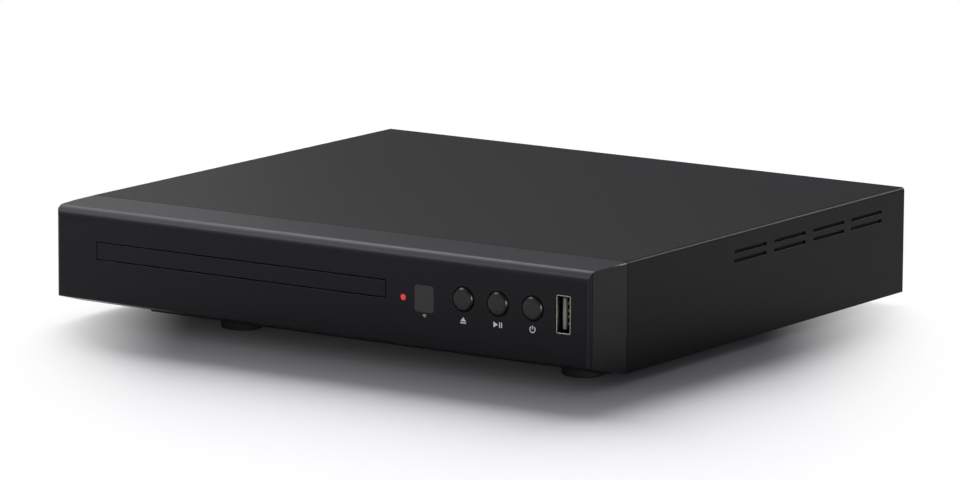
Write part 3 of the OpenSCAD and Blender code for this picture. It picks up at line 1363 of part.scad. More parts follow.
top_cover();
bottom_chassis();
rear_panel();
front_bezel();
feet();
housing_screws();
ir_window();
led_lens();
front_board();
tact_switches();
eject_button();
play_button();
power_button();
eject_plunger();
play_plunger();
power_plunger();
ir_receiver();
usb_shell();
usb_tongue();
tray_door();
disc_tray();
loader_frame();
clamp_bridge();
clamp_puck();
puck_magnet();
drive_gear();
pulley_gear();
drive_belt();
motor_pulley();
loading_motor();
cam_slider();
lift_frame();
traverse_plate();
dampers();
damper_screws();
guide_rods();
pickup_sled();
pickup_lens();
feed_gear();
feed_motor();
feed_pinion();
spindle_motor();
spindle_rotor();
turntable();
turntable_pad();
loader_screws();
board_screws();
main_board();
main_chips();
power_board();
transformer();
capacitors();
ribbon_cables();
hdmi_socket();
video_jack();
left_jack();
right_jack();
jack_barrels();
mains_inlet();
inlet_pins();
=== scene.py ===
import bpy
import bmesh
import math
from mathutils import Matrix, Vector


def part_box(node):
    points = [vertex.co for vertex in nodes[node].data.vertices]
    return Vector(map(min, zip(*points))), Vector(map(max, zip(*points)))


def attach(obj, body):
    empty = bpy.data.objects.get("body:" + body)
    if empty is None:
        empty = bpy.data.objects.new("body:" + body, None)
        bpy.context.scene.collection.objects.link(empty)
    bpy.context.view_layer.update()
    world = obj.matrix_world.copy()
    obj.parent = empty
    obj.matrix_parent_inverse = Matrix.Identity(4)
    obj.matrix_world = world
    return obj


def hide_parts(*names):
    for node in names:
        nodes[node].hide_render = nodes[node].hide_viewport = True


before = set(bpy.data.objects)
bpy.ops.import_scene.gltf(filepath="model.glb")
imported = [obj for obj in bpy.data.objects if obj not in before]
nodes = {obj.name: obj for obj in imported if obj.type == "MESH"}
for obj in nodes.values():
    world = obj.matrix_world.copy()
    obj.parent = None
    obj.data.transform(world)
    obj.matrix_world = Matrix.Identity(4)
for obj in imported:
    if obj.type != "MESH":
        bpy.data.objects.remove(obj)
scene = bpy.context.scene
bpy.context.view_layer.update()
print("frame loaded,", len(nodes), "parts")


# helpers

def hexToLinear(code):
    # sRGB hex such as "#2a2a2c" to the linear colour that Blender works in
    channels = [int(code[i:i + 2], 16) / 255 for i in (1, 3, 5)]
    linear = [c / 12.92 if c <= 0.04045 else ((c + 0.055) / 1.055) ** 2.4 for c in channels]
    return (*linear, 1.0)


def setInputs(node, inputs):
    # an input is a value, a hex colour, an output socket, or a node that stands for its first output
    for key, value in inputs.items():
        if isinstance(value, bpy.types.Node):
            value = value.outputs[0]
        if isinstance(value, bpy.types.NodeSocket):
            node.id_data.links.new(value, node.inputs[key])
        else:
            node.inputs[key].default_value = hexToLinear(value) if isinstance(value, str) else value


def addNode(tree, kind, inputs={}, **settings):
    node = tree.nodes.new("ShaderNode" + kind)
    for key, value in settings.items():
        setattr(node, key, value)
    setInputs(node, inputs)
    return node


def emptyTree(owner):
    owner.use_nodes = True
    owner.node_tree.nodes.clear()
    return owner.node_tree


def startMaterial(name, shaderInputs):
    material = bpy.data.materials.new(name)
    tree = emptyTree(material)
    shader = addNode(tree, "BsdfPrincipled", shaderInputs)
    addNode(tree, "OutputMaterial", {"Surface": shader})
    return material, tree, shader, addNode(tree, "TexCoord").outputs["Object"]


def perMm(size):
    # texture scale that gives features this many millimetres across
    return 1000 / size


def casePoint(x, y, z):
    # millimetres from the middle of the bezel joint, on the steel underside
    return Vector((x, y - 84.3, z + 4)) / 1000


def loaderPoint(x, y, z):
    # the same height and depth, counted sideways from the tray's middle
    return casePoint(x - 32, y, z)


# materials

finishes = {}
finishColumns = ("name", "dark", "light", "roughness", "roughSpread", "driftMm", "grainMm", "bump", "bumpMm",
                 "edgeMm")


def makeFinish(slotName, spec):
    metal = "metallic" in spec
    finishes[slotName], tree, shader, place = startMaterial(spec["name"], {
        "Metallic": spec.get("metallic", 0.0), "Roughness": spec["roughness"], "IOR": spec.get("ior", 1.5),
        "Specular IOR Level": spec.get("specular", 0.5), "Specular Tint": spec.get("sheen", "#ffffff")})
    along = place
    if "stretch" in spec:
        # marks of drawing, turning and grinding all run one way
        along = addNode(tree, "Mapping", {"Vector": place, "Scale": spec["stretch"]}).outputs[0]
    # slow drift of pigment or plating over a few centimetres
    drift = addNode(tree, "TexNoise", {
        "Vector": along, "Scale": perMm(spec["driftMm"]), "Detail": 4.0 if metal else 3.0}).outputs["Fac"]
    if "spangleMm" in spec:
        # zinc freezes in leaf-like crystals, each a slightly different grey
        flakes = addNode(tree, "TexVoronoi", {"Vector": place, "Scale": perMm(spec["spangleMm"])})
        drift = addNode(tree, "Mix", {0: 0.6, 2: drift, 3: flakes.outputs["Color"]}, data_type="FLOAT").outputs[0]
    colour = addNode(tree, "Mix", {0: drift, 6: spec["dark"], 7: spec["light"]}, data_type="RGBA").outputs[2]
    if "shadeReachMm" in spec:
        # painted shade: the colour darkens towards near-black where two walls stand close, so a socket darkens
        # inwards
        opening = addNode(tree, "AmbientOcclusion", {"Distance": spec["shadeReachMm"] / 1000}, samples=8)
        unshaded = addNode(tree, "Math", {0: opening.outputs["AO"], 1: spec["shadePower"]}, operation="POWER")
        colour = addNode(tree, "Mix", {0: unshaded, 6: spec["tarnish"], 7: colour}, data_type="RGBA").outputs[2]
    # grain of the mould, the paint or the plating, in gloss and in height
    grain = addNode(tree, "TexNoise", {
        "Vector": along, "Scale": perMm(spec["grainMm"]), "Detail": 2.0, "Roughness": 0.5 if metal else 0.6})
    rough = addNode(tree, "MapRange", {
        "Value": grain.outputs["Fac"], "From Min": 0.3, "From Max": 0.7,
        "To Min": spec["roughness"] - spec["roughSpread"], "To Max": spec["roughness"] + spec["roughSpread"]})
    bump = addNode(tree, "Bump", {
        "Height": grain.outputs["Fac"], "Strength": spec["bump"], "Distance": spec["bumpMm"] / 1000})
    if spec["edgeMm"]:
        # neither a mould nor a press leaves a knife edge, so corners turn over a small radius
        corner = addNode(tree, "Bevel", {"Radius": spec["edgeMm"] / 1000}, samples=4)
        setInputs(bump, {"Normal": corner})
    setInputs(shader, {"Base Color": colour, "Roughness": rough, "Normal": bump})


# moulded plastics, rubbers and ceramics; the last figure is the refractive index
mouldedSpecs = {
    # ABS from a finely etched mould: even black with a soft sheen
    "bezel_abs": ("etchedBlackAbs", "#1b1b1c", "#1e1e1f", 0.34, 0.05, 60, 0.35, 0.12, 0.02, 0.25, 1.54),
    # ABS from a polished mould: a touch lighter, with crisp highlights on the rim
    "button_abs": ("polishedBlackAbs", "#1a1a1b", "#1e1e1f", 0.28, 0.04, 12, 0.5, 0.04, 0.01, 0.12, 1.54),
    # moulded rubber: dull, dusty black
    "foot_rubber": ("mouldedRubber", "#141414", "#1c1c1b", 0.82, 0.08, 4, 0.5, 0.25, 0.04, 0.3, 1.5),
    # charcoal ABS with a coarser etch, so scratches from discs do not show
    "tray_abs": ("coarseEtchedAbs", "#1b1b1d", "#222225", 0.55, 0.06, 45, 0.45, 0.2, 0.03, 0.2, 1.54),
    # pale ABS of the loader: warm grey, satin
    "loader_abs": ("paleAbs", "#cfccc2", "#dbd8ce", 0.5, 0.06, 70, 0.6, 0.12, 0.03, 0.2, 1.54),
    # natural acetal: creamy and slightly waxy
    "acetal": ("naturalAcetal", "#e2dfd4", "#edeade", 0.36, 0.05, 20, 0.8, 0.05, 0.02, 0.1, 1.48),
    # black nylon: dull, with a faint bloom
    "black_plastic": ("blackNylon", "#1a1a1a", "#262626", 0.5, 0.08, 14, 0.4, 0.15, 0.03, 0.15, 1.53),
    # white nylon: matt and clean
    "white_plastic": ("whiteNylon", "#deddd6", "#ecebe6", 0.45, 0.06, 8, 0.4, 0.08, 0.02, 0.1, 1.53),
    # tongue of the data socket: the same nylon, greyed by painted shade between the walls
    "socket_nylon": ("nylonWithPaintedShade", "#deddd6", "#ecebe6", 0.45, 0.06, 4, 0.4, 0.08, 0.02, 0.1, 1.53),
    # pressed felt of the sheets behind the vent slots, which set the painted shade seen in them: dark grey and
    # without any gloss
    "vent_shade_felt": ("ventShadeFelt", "#202021", "#2b2b2c", 0.95, 0.04, 1.2, 0.2, 0.4, 0.05, 0, 1.4),
    # cut belt rubber: deep black and matt
    "belt_rubber": ("cutRubber", "#101010", "#191919", 0.75, 0.08, 3, 0.25, 0.3, 0.03, 0, 1.5),
    # soft damper rubber: blue-grey and slightly greasy
    "damper_rubber": ("softRubber", "#3b3e52", "#484b60", 0.62, 0.1, 3, 0.4, 0.15, 0.03, 0.2, 1.5),
    # glass-filled plastic: faint fibres show as speckle
    "turntable_plastic": ("glassFilledPlastic", "#26262a", "#38383d", 0.48, 0.1, 0.8, 0.25, 0.2, 0.02, 0.15, 1.53),
    # transfer-moulded epoxy: matt, charcoal
    "chip_epoxy": ("packageEpoxy", "#1b1b1c", "#232324", 0.6, 0.06, 5, 0.3, 0.2, 0.02, 0.15, 1.55),
    # coloured ABS of the phono sockets: plain bright colours, shiny
    "jack_yellow": ("yellowAbs", "#dfae08", "#e8b912", 0.3, 0.04, 10, 0.5, 0.05, 0.02, 0.15, 1.54),
    "jack_white": ("whiteAbs", "#e2e2dc", "#ebebe6", 0.3, 0.04, 10, 0.5, 0.05, 0.02, 0.15, 1.54),
    "jack_red": ("redAbs", "#b01a16", "#bc231d", 0.3, 0.04, 10, 0.5, 0.05, 0.02, 0.15, 1.54),
    # shrink sleeve: dark blue, glossy, slightly wavy
    "capacitor_sleeve": ("shrinkSleeve", "#1b2748", "#22305a", 0.28, 0.04, 6, 2.5, 0.12, 0.08, 0, 1.54),
    # polyester tape round the winding: yellow, glossy, with laid edges
    "winding_tape": ("polyesterTape", "#d0a31d", "#e0b62c", 0.3, 0.06, 9, 3.0, 0.15, 0.1, 0, 1.6),
    # smoked acrylic: dark and smooth, a little brighter than the bezel round it
    "ir_acrylic": ("smokedAcrylic", "#2a292b", "#2f2e30", 0.34, 0.02, 8, 1.0, 0.02, 0.01, 0.15, 1.49),
    # fired ceramic of the chip capacitors: tan and waxy
    "ceramic": ("firedCeramic", "#8a6f50", "#a58a66", 0.42, 0.06, 2, 0.2, 0.1, 0.01, 0, 1.6),
    # pressed ferrite: charcoal, with a chalky grain
    "ferrite": ("pressedFerrite", "#3a3a3d", "#49494c", 0.58, 0.1, 6, 0.35, 0.3, 0.03, 0, 1.9),
    # moulded box of the film capacitor: yellow, satin
    "film_box": ("filledPolyester", "#c9a52c", "#d8b53a", 0.38, 0.05, 8, 0.5, 0.08, 0.02, 0, 1.56),
    # dipped lacquer of the resistors: pale blue and slightly uneven
    "resistor_lacquer": ("dippedLacquer", "#6d97b4", "#84abc5", 0.35, 0.05, 3, 0.8, 0.15, 0.04, 0, 1.5),
    # printed polarity stripe: pale grey and matt
    "printed_stripe": ("printedStripe", "#b9bcc2", "#cdd0d4", 0.4, 0.05, 2, 0.4, 0.05, 0.01, 0, 1.5),
    # polyimide film of the pickup's circuits: amber over copper
    "polyimide": ("polyimideFilm", "#a8661c", "#bb7a2c", 0.28, 0.05, 2.5, 0.8, 0.08, 0.02, 0, 1.7),
}

# coated and bare metals; the last figure is how much bare metal shows
metalSpecs = {
    # steel sheet under satin black powder: fine orange peel, soft even sheen
    "cover_steel": ("powderCoatedSteel", "#111112", "#131314", 0.42, 0.05, 90, 0.7, 0.15, 0.03, 0.25, 0.0),
    # the same coat on the back panel, thinner and flatter
    "rear_steel": ("paintedSteel", "#1c1c1d", "#232324", 0.6, 0.06, 60, 0.6, 0.15, 0.03, 0.15, 0.0),
    # chassis sheet under thin black paint: dull, with the sheet's own waviness
    "chassis_steel": ("dippedSteel", "#1a1a1b", "#202021", 0.55, 0.06, 60, 0.8, 0.12, 0.03, 0.15, 0.0),
    # galvanised sheet: bluish grey with faint spangle
    "zinc_steel": ("galvanisedSteel", "#8b8f94", "#b4b8bc", 0.42, 0.08, 18, 1.2, 0.08, 0.03, 0.15, 1.0),
    # black oxide screws: dark, slightly blue, with worn shine
    "black_screw": ("blackOxideSteel", "#1c1c20", "#38383d", 0.4, 0.1, 1.5, 0.3, 0.1, 0.02, 0.1, 0.8),
    # bright zinc on the other screws: clean grey with a soft shine
    "bright_screw": ("zincPlatedSteel", "#a7a9ac", "#d0d2d6", 0.3, 0.08, 1.5, 0.3, 0.1, 0.02, 0.1, 1.0),
    # bright nickel plate over stamped steel
    "nickel": ("nickelPlate", "#b9b6ae", "#d3d0c9", 0.24, 0.06, 4, 0.5, 0.06, 0.02, 0.1, 1.0),
    # the same plate on the data socket, darkened by painted shade inside the shell
    "socket_nickel": ("nickelWithPaintedShade", "#b9b6ae", "#d3d0c9", 0.3, 0.06, 4, 0.5, 0.06, 0.02, 0.1, 1.0),
    # plated ferrite magnets: steel grey and satin
    "magnet": ("platedFerrite", "#6f7175", "#8e9095", 0.38, 0.08, 4, 0.4, 0.15, 0.02, 0.15, 1.0),
    # turned brass: warm, with fine rings from the tool
    "brass": ("turnedBrass", "#b58d45", "#cfa95b", 0.28, 0.06, 2, 0.4, 0.1, 0.02, 0.08, 1.0),
    # drawn motor cans: dull grey with faint vertical draw lines
    "motor_can": ("drawnZincPlate", "#96989c", "#b9bbbf", 0.33, 0.08, 6, 1.0, 0.08, 0.02, 0.15, 1.0),
    # ground rods: bright, with fine marks round them
    "rod_steel": ("groundSteel", "#c2c4c8", "#dcdee2", 0.14, 0.04, 5, 0.6, 0.05, 0.01, 0, 1.0),
    # die-cast sled, tumbled: dark grey with a broken shine
    "sled_alloy": ("castAlloy", "#4a4b4f", "#626368", 0.45, 0.08, 7, 0.5, 0.2, 0.04, 0.2, 0.9),
    # flash gold on the contacts: pale yellow and bright
    "gold_plate": ("goldPlate", "#d9b878", "#ecd09a", 0.26, 0.05, 1.5, 0.3, 0.05, 0.01, 0, 1.0),
    # matt tin on leads and lids: soft grey white
    "tin_plate": ("mattTinPlate", "#b4b6b8", "#d2d4d6", 0.38, 0.08, 1.2, 0.25, 0.08, 0.01, 0, 1.0),
    # drawn aluminium can tops: pale, brushed one way
    "bare_aluminium": ("drawnAluminium", "#b9bbbe", "#d4d6d9", 0.34, 0.07, 3, 0.5, 0.1, 0.02, 0, 1.0),
    # extruded heat sink under black anodising: dark with a faint metal sheen
    "anodised_black": ("blackAnodisedAluminium", "#222326", "#2e2f33", 0.45, 0.06, 6, 0.5, 0.1, 0.02, 0, 0.6),
    # lacquered copper wire: warm red and shiny
    "copper_wire": ("lacqueredCopper", "#a8572c", "#c8743f", 0.26, 0.06, 1, 0.2, 0.05, 0.01, 0, 1.0),
}

# what sets a few of them apart: sheen, marks that run one way, crystals, and painted shade in hollows
specials = {
    "bezel_abs": {"specular": 0.12, "sheen": "#f5f3ff"}, "button_abs": {"specular": 0.28},
    "ir_acrylic": {"specular": 0.4}, "vent_shade_felt": {"specular": 0.1}, "cover_steel": {"specular": 0.08},
    "rear_steel": {"specular": 0.3}, "chassis_steel": {"specular": 0.25}, "zinc_steel": {"spangleMm": 6},
    "brass": {"stretch": (1, 1, 6)}, "motor_can": {"stretch": (6, 6, 1)}, "rod_steel": {"stretch": (1, 8, 1)},
    "bare_aluminium": {"stretch": (1, 5, 1)}, "anodised_black": {"stretch": (1, 1, 5)},
    "socket_nylon": {"shadeReachMm": 5.0, "shadePower": 3.0, "tarnish": "#0c0c0d"},
    "socket_nickel": {"shadeReachMm": 3.0, "shadePower": 3.0, "tarnish": "#0c0c0d"},
}
for specs, lastColumn in ((mouldedSpecs, "ior"), (metalSpecs, "metallic")):
    for slotName, values in specs.items():
        makeFinish(slotName, {**dict(zip((*finishColumns, lastColumn), values)), **specials.get(slotName, {})})
print("plastics and metals ready:", len(finishes))

# epoxy, glass and ink: a faint noise bends the surface or shifts the colour
clearSpecs = {
    # red epoxy indicator: lit from inside, with a faint haze
    "red_lens": {"name": "diffusingEpoxy", "noiseMm": 0.6, "detail": 2.0, "bump": 0.1, "inputs": {
        "Base Color": "#d81c1c", "Roughness": 0.3, "IOR": 1.5,
        "Emission Color": "#ff4440", "Emission Strength": 0.36}},
    # coated moulded lens: clear with a violet bloom
    "lens_glass": {"name": "coatedLens", "noiseMm": 3, "detail": 1.0, "colours": ("#5a3f9a", "#8f9fd0"), "inputs": {
        "Base Color": "#8f9fd0", "Roughness": 0.06, "IOR": 1.52, "Transmission Weight": 0.6, "Coat Weight": 0.6,
        "Coat Roughness": 0.05}},
    # drawn glass tube of the fuse: clear, with a greenish edge
    "clear_glass": {"name": "drawnGlass", "noiseMm": 4, "detail": 1.0, "bump": 0.05, "inputs": {
        "Base Color": "#e8f2ea", "Roughness": 0.04, "IOR": 1.5, "Transmission Weight": 0.92}},
    # white ink pad-printed on the bezel: flat, slightly open edge
    "white_ink": {"name": "padPrintedInk", "noiseMm": 0.3, "detail": 2.0, "colours": ("#ececec", "#fafafa"),
                  "inputs": {"Roughness": 0.5, "IOR": 1.5}},
}
for slotName, spec in clearSpecs.items():
    finishes[slotName], tree, shader, place = startMaterial(spec["name"], spec["inputs"])
    noise = addNode(tree, "TexNoise", {"Vector": place, "Scale": perMm(spec["noiseMm"]), "Detail": spec["detail"]})
    if "bump" in spec:
        bump = addNode(tree, "Bump", {"Height": noise, "Strength": spec["bump"], "Distance": 0.00002})
        setInputs(shader, {"Normal": bump})
    else:
        colour = addNode(tree, "Mix", {0: noise, 6: spec["colours"][0], 7: spec["colours"][1]}, data_type="RGBA")
        setInputs(shader, {"Base Color": colour.outputs[2]})

patchMm = 22
boardSpecs = {
    # solder mask over copper tracks: glossy green in two shades
    "board_green": {"name": "greenSolderMask", "mask": "#1f5a33", "copper": "#2c7040", "gap": "#174727",
                    "roughness": 0.3, "trackMm": 1.1},
    # bare phenolic paper: tan and satin
    "board_tan": {"name": "phenolicPaper", "mask": "#b48a52", "copper": "#bd955d", "gap": "#a57c46",
                  "roughness": 0.5, "trackMm": 1.4},
}
for slotName, spec in boardSpecs.items():
    finishes[slotName], tree, shader, place = startMaterial(spec["name"], {
        "Roughness": spec["roughness"], "IOR": 1.55})
    # tracks run square to the board's edges, so the pattern is square bricks of random length
    tracks = addNode(tree, "TexBrick", {
        "Vector": place, "Scale": perMm(spec["trackMm"] * 10), "Mortar Size": 0.018, "Color1": spec["mask"],
        "Color2": spec["copper"], "Mortar": spec["gap"], "Brick Width": 1.7, "Row Height": 0.31}, offset=0.37)
    patches = addNode(tree, "TexNoise", {"Vector": place, "Scale": perMm(patchMm), "Detail": 2.0})
    colour = addNode(tree, "Mix", {
        0: patches.outputs["Fac"], 6: tracks.outputs["Color"], 7: spec["mask"]}, data_type="RGBA")
    relief = addNode(tree, "Bump", {"Height": tracks.outputs["Fac"], "Strength": 0.2, "Distance": 0.00003})
    setInputs(shader, {"Base Color": colour.outputs[2], "Normal": relief})

# flat cable: pale PVC over parallel strands
ribbonSpec = {"strandMm": 1.25, "dark": "#a9a9a2", "light": "#d2d2cb"}
finishes["ribbon_pvc"], tree, shader, place = startMaterial("ribbonPvc", {"Roughness": 0.45, "IOR": 1.53})
strands = addNode(tree, "TexWave", {
    "Vector": place, "Scale": perMm(ribbonSpec["strandMm"]) / (2 * math.pi)},
    wave_type="BANDS", bands_direction="X", wave_profile="SIN")
colour = addNode(tree, "Mix", {
    0: strands.outputs["Fac"], 6: ribbonSpec["dark"], 7: ribbonSpec["light"]}, data_type="RGBA")
bump = addNode(tree, "Bump", {"Height": strands.outputs["Fac"], "Strength": 0.5, "Distance": 0.0002})
setInputs(shader, {"Base Color": colour.outputs[2], "Normal": bump})

# the data socket takes another finish than the one its slots stand for
socketFinishes = {"usb_shell": "socket_nickel", "usb_tongue": "socket_nylon"}
recordSlots = set()
for nodeName, node in nodes.items():
    for slotHolder in node.material_slots:
        slotName = slotHolder.material.name.split(".")[0]
        recordSlots.add(slotName)
        slotHolder.material = finishes[socketFinishes.get(nodeName, slotName)]
print("finishes on all parts:", len(finishes))


# making pieces

# directions along the case's axes
rightward, leftward = Vector((1, 0, 0)), Vector((-1, 0, 0))
forward, backward = Vector((0, -1, 0)), Vector((0, 1, 0))
upward = Vector((0, 0, 1))


def finishPiece(name, bm, finish, body="housing"):
    mesh = bpy.data.meshes.new(name)
    bmesh.ops.recalc_face_normals(bm, faces=bm.faces)
    bm.to_mesh(mesh)
    bm.free()
    mesh.materials.append(finishes[finish])
    piece = bpy.data.objects.new(name, mesh)
    scene.collection.objects.link(piece)
    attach(piece, body)
    return piece


def buildPiece(name, finish, shapes, body="housing"):
    # each shape is the function that adds it and what that function takes
    bm = bmesh.new()
    for add, *values in shapes:
        add(bm, *values)
    return finishPiece(name, bm, finish, body)


def blocks(boxes, chamfer, place=casePoint):
    # shapes for buildPiece, from boxes that share a chamfer
    return [(addBlock, *box, chamfer, place) for box in boxes]


def raiseOutline(bm, points, bottom, thickness, normal, across, centre):
    # a flat plate from a closed outline, lifted along its normal
    up = normal.cross(across)
    low, high = ([bm.verts.new(centre + (across * u + up * v + normal * height) / 1000) for u, v in points]
                 for height in (bottom, bottom + thickness))
    bm.faces.new(high)
    bm.faces.new(low[::-1])
    for i in range(len(points)):
        j = (i + 1) % len(points)
        bm.faces.new((low[i], low[j], high[j], high[i]))


def joinRings(bm, rings):
    # walls from each ring of points to the next
    for a, b in zip(rings, rings[1:]):
        for k in range(len(a)):
            n = (k + 1) % len(a)
            bm.faces.new((a[k], b[k], b[n], a[n]))


def raiseRing(bm, outer, inner, startAngle, endAngle, steps, bottom, thickness, normal, centre):
    # part of a flat ring, its angles counted from the right; both ends are closed
    up = normal.cross(rightward)
    section = ((outer, bottom), (outer, bottom + thickness), (inner, bottom + thickness), (inner, bottom))
    rings = []
    for i in range(steps + 1):
        angle = math.radians(startAngle + (endAngle - startAngle) * i / steps)
        direction = rightward * math.cos(angle) + up * math.sin(angle)
        rings.append([bm.verts.new(centre + (direction * r + normal * h) / 1000) for r, h in section])
    joinRings(bm, rings)
    bm.faces.new(rings[0][::-1])
    bm.faces.new(rings[-1])


def addBlock(bm, x, y, z, chamfer, place=casePoint):
    # a block between two corners, its edges cut back so that they catch the light
    low, high = place(x[0], y[0], z[0]), place(x[1], y[1], z[1])
    made = bmesh.ops.create_cube(bm, size=1.0)["verts"]
    for vert in made:
        vert.co = Vector(low[i] + (vert.co[i] + 0.5) * (high[i] - low[i]) for i in range(3))
    edges = {edge for vert in made for edge in vert.link_edges}
    bmesh.ops.bevel(bm, geom=list(edges), offset=chamfer / 1000, segments=1, profile=0.5, affect="EDGES")


def ringPoints(bm, centre, side, other, radius, steps):
    return [bm.verts.new(centre + (side * math.cos(a) + other * math.sin(a)) * radius / 1000)
            for a in (2 * math.pi * k / steps for k in range(steps))]


def turnProfile(bm, profile, centre, axis, steps=24, closed=False):
    # profile points are (radius, height) in millimetres along the axis; radius 0 closes an end
    side = axis.orthogonal().normalized()
    rings = []
    for radius, height in profile:
        middle = centre + axis * height / 1000
        rings.append(ringPoints(bm, middle, side, axis.cross(side), radius, steps) if radius
                     else [bm.verts.new(middle)])
    if closed:
        rings.append(rings[0])
    for a, b in zip(rings, rings[1:]):
        if len(a) == len(b):
            joinRings(bm, (a, b))
            continue
        for k in range(steps):
            n = (k + 1) % steps
            bm.faces.new((a[0], b[k], b[n]) if len(a) == 1 else (a[n], a[k], b[0]))


def tubeAlong(bm, points, radius, sides=8):
    # a wire through points in the case, its ends closed
    path = [casePoint(*p) for p in points]
    side = (path[1] - path[0]).orthogonal().normalized()
    rings = []
    for i, point in enumerate(path):
        along = (path[min(i + 1, len(path) - 1)] - path[max(i - 1, 0)]).normalized()
        side = (side - along * side.dot(along)).normalized()
        rings.append(ringPoints(bm, point, side, along.cross(side), radius, sides))
    joinRings(bm, rings)
    bm.faces.new(rings[0][::-1])
    bm.faces.new(rings[-1])


def addStrip(bm, line, thickness, width, out, up, foot):
    # a bent strip: its middle line runs out and up from the foot, and its width lies across both
    sides = ([], [])
    for i, (u, v) in enumerate(line):
        before, after = line[max(i - 1, 0)], line[min(i + 1, len(line) - 1)]
        along = Vector((after[0] - before[0], after[1] - before[1])).normalized()
        for side, sign in zip(sides, (1, -1)):
            side.append((u - sign * along.y * thickness / 2, v + sign * along.x * thickness / 2))
    raiseOutline(bm, sides[0] + sides[1][::-1], -width / 2, width, out.cross(up), out, foot)


def addScrewHead(bm, head, seat, normal, across):
    # pan head with a real cross recess; the four quarters share their corners
    other = normal.cross(across)
    radius, height, rim, floorAt, half, arm = head
    steps = 6

    def corner(u, v, w):
        return bm.verts.new(seat + (across * u + other * v + normal * w) / 1000)

    inner, deep, edge, ring, foot = [], [], [], [], []
    outlines = ((edge, radius * 0.74, height), (ring, radius, rim), (foot, radius, 0.0))
    for c, s in ((1, 0), (0, 1), (-1, 0), (0, -1)):
        for u, v in ((arm, -half), (arm, half), (half, half)):
            inner.append(corner(u * c - v * s, u * s + v * c, height))
            deep.append(corner(u * c - v * s, u * s + v * c, floorAt))
        for k in range(steps):
            angle = math.atan2(s, c) + math.pi / 2 * k / steps
            for store, r, z in outlines:
                store.append(corner(r * math.cos(angle), r * math.sin(angle), z))
    joinRings(bm, (deep, inner))
    joinRings(bm, (edge, ring, foot))
    bm.faces.new(deep)
    bm.faces.new(foot[::-1])
    for q in range(4):
        arc = [edge[(q * steps + k) % len(edge)] for k in range(steps + 1)]
        tip, root, back = inner[3 * q + 1], inner[3 * q + 2], inner[(3 * q + 3) % len(inner)]
        bm.faces.new([tip] + arc + [back, root])
        bm.faces.new((inner[3 * q], arc[0], tip))


# symbols printed under the buttons: eject, play and pause, power
buttonColumns = (61.3, 75.26, 89.22)
mark = {
    "z": 15.9, "front": -21.8, "size": 1.15, "ink": 0.03, "ring": (1.2075, 0.8675, 125, 415, 40),
    "outlines": [
        (0, [(-1, -0.35), (1, -0.35), (0, 0.95)]), (0, [(-1, -1), (1, -1), (1, -0.62), (-1, -0.62)]),
        (1, [(-1.5, -0.85), (0.1, 0), (-1.5, 0.85)]), (1, [(0.45, -0.8), (0.8, -0.8), (0.8, 0.8), (0.45, 0.8)]),
        (1, [(1.15, -0.8), (1.5, -0.8), (1.5, 0.8), (1.15, 0.8)]),
        (2, [(-0.16, 0), (0.16, 0), (0.16, 1.15), (-0.16, 1.15)])]}
size, front = mark["size"], mark["front"]
buildPiece("button_symbols", "white_ink", [
    (raiseOutline, [(u * size, v * size) for u, v in outline], 0.0, mark["ink"], forward, rightward,
     casePoint(buttonColumns[column], front, mark["z"])) for column, outline in mark["outlines"]
] + [(raiseRing, *mark["ring"], 0.0, mark["ink"], forward, casePoint(buttonColumns[2], front, mark["z"]))])

# three short arcs under the infrared window
wave = {"x": 45.5, "z": 14.9, "radii": (0.45, 0.85, 1.25), "width": 0.18, "arc": (50, 130, 10)}
buildPiece("remote_symbol", "white_ink", [
    (raiseRing, radius, radius - wave["width"], *wave["arc"], 0.0, mark["ink"], forward,
     casePoint(wave["x"], front, wave["z"])) for radius in wave["radii"]])
print("symbols printed")

# buttons, whose caps turn over in a wide shoulder that catches a crescent of light
button = {
    "profile": [
        (0, 0), (1.6, 0), (3.36, 0), (3.46, -0.025), (3.57, -0.095), (3.7, -0.21), (3.82, -0.34), (3.92, -0.45),
        (4.0, -0.54), (4.05, -0.66), (4.05, -3.05), (4.65, -3.05), (4.65, -4.2), (1.6, -4.2)],
    "stem": 1.6, "rib": (2.6, 0.5), "ribFrom": 4.0, "ribTo": 1.2, "ribCut": 0.08, "sharp": 40, "steps": 64}
for word in ("eject", "play", "power"):
    low, high = (Vector(corner) * 1000 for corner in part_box(word + "_button"))
    middle = (low + high) / 2
    face = Vector((middle.x, low.y, middle.z)) / 1000
    length = high.y - low.y
    bm = bmesh.new()
    turnProfile(bm, button["profile"] + [(button["stem"], -length), (0, -length)], face, forward, button["steps"])
    for long, thin in (button["rib"], button["rib"][::-1]):
        addBlock(bm, (-long, long), (button["ribFrom"], length - button["ribTo"]), (-thin, thin), button["ribCut"],
                 lambda x, y, z: face + Vector((x, y, z)) / 1000)
    cap = finishPiece(word + "_cap", bm, "button_abs", word + "_key")
    cap.data.shade_smooth()
    cap.data.set_sharp_from_angle(angle=math.radians(button["sharp"]))
    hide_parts(word + "_button")

# data socket: four gold contacts along the tongue, and a spring leaf in each window of the shell; a strip is
# its line, thickness and width
usb = {
    "x": 101.3, "z": 22.2, "front": -21.55, "tongue": 101.28, "rows": (-3.5, -1.0, 1.0, 3.5),
    "contact": ([(2.7, 0.1), (3.1, 0.4), (4.0, 0.62), (5.0, 0.34), (5.8, 0.12), (10.3, 0.08)], 0.16, 1.0),
    "leaf": ([(-0.4, 0), (0.4, 0), (2.2, 0.42), (3.4, 0.62), (4.2, 0.4), (4.7, 0.12)], 0.2, 1.5),
    "leafRows": (-3.1, 3.1), "leafFoot": -11.95, "wall": 2.71}
buildPiece("usb_contacts", "gold_plate", [
    (addStrip, *usb["contact"], backward, rightward, casePoint(usb["tongue"], usb["front"], usb["z"] + row))
    for row in usb["rows"]])
buildPiece("usb_spring_leaves", "nickel", [
    (addStrip, *usb["leaf"], forward, -side,
     casePoint(usb["x"] + side.x * usb["wall"], usb["leafFoot"], usb["z"] + row))
    for row in usb["leafRows"] for side in (leftward, rightward)])

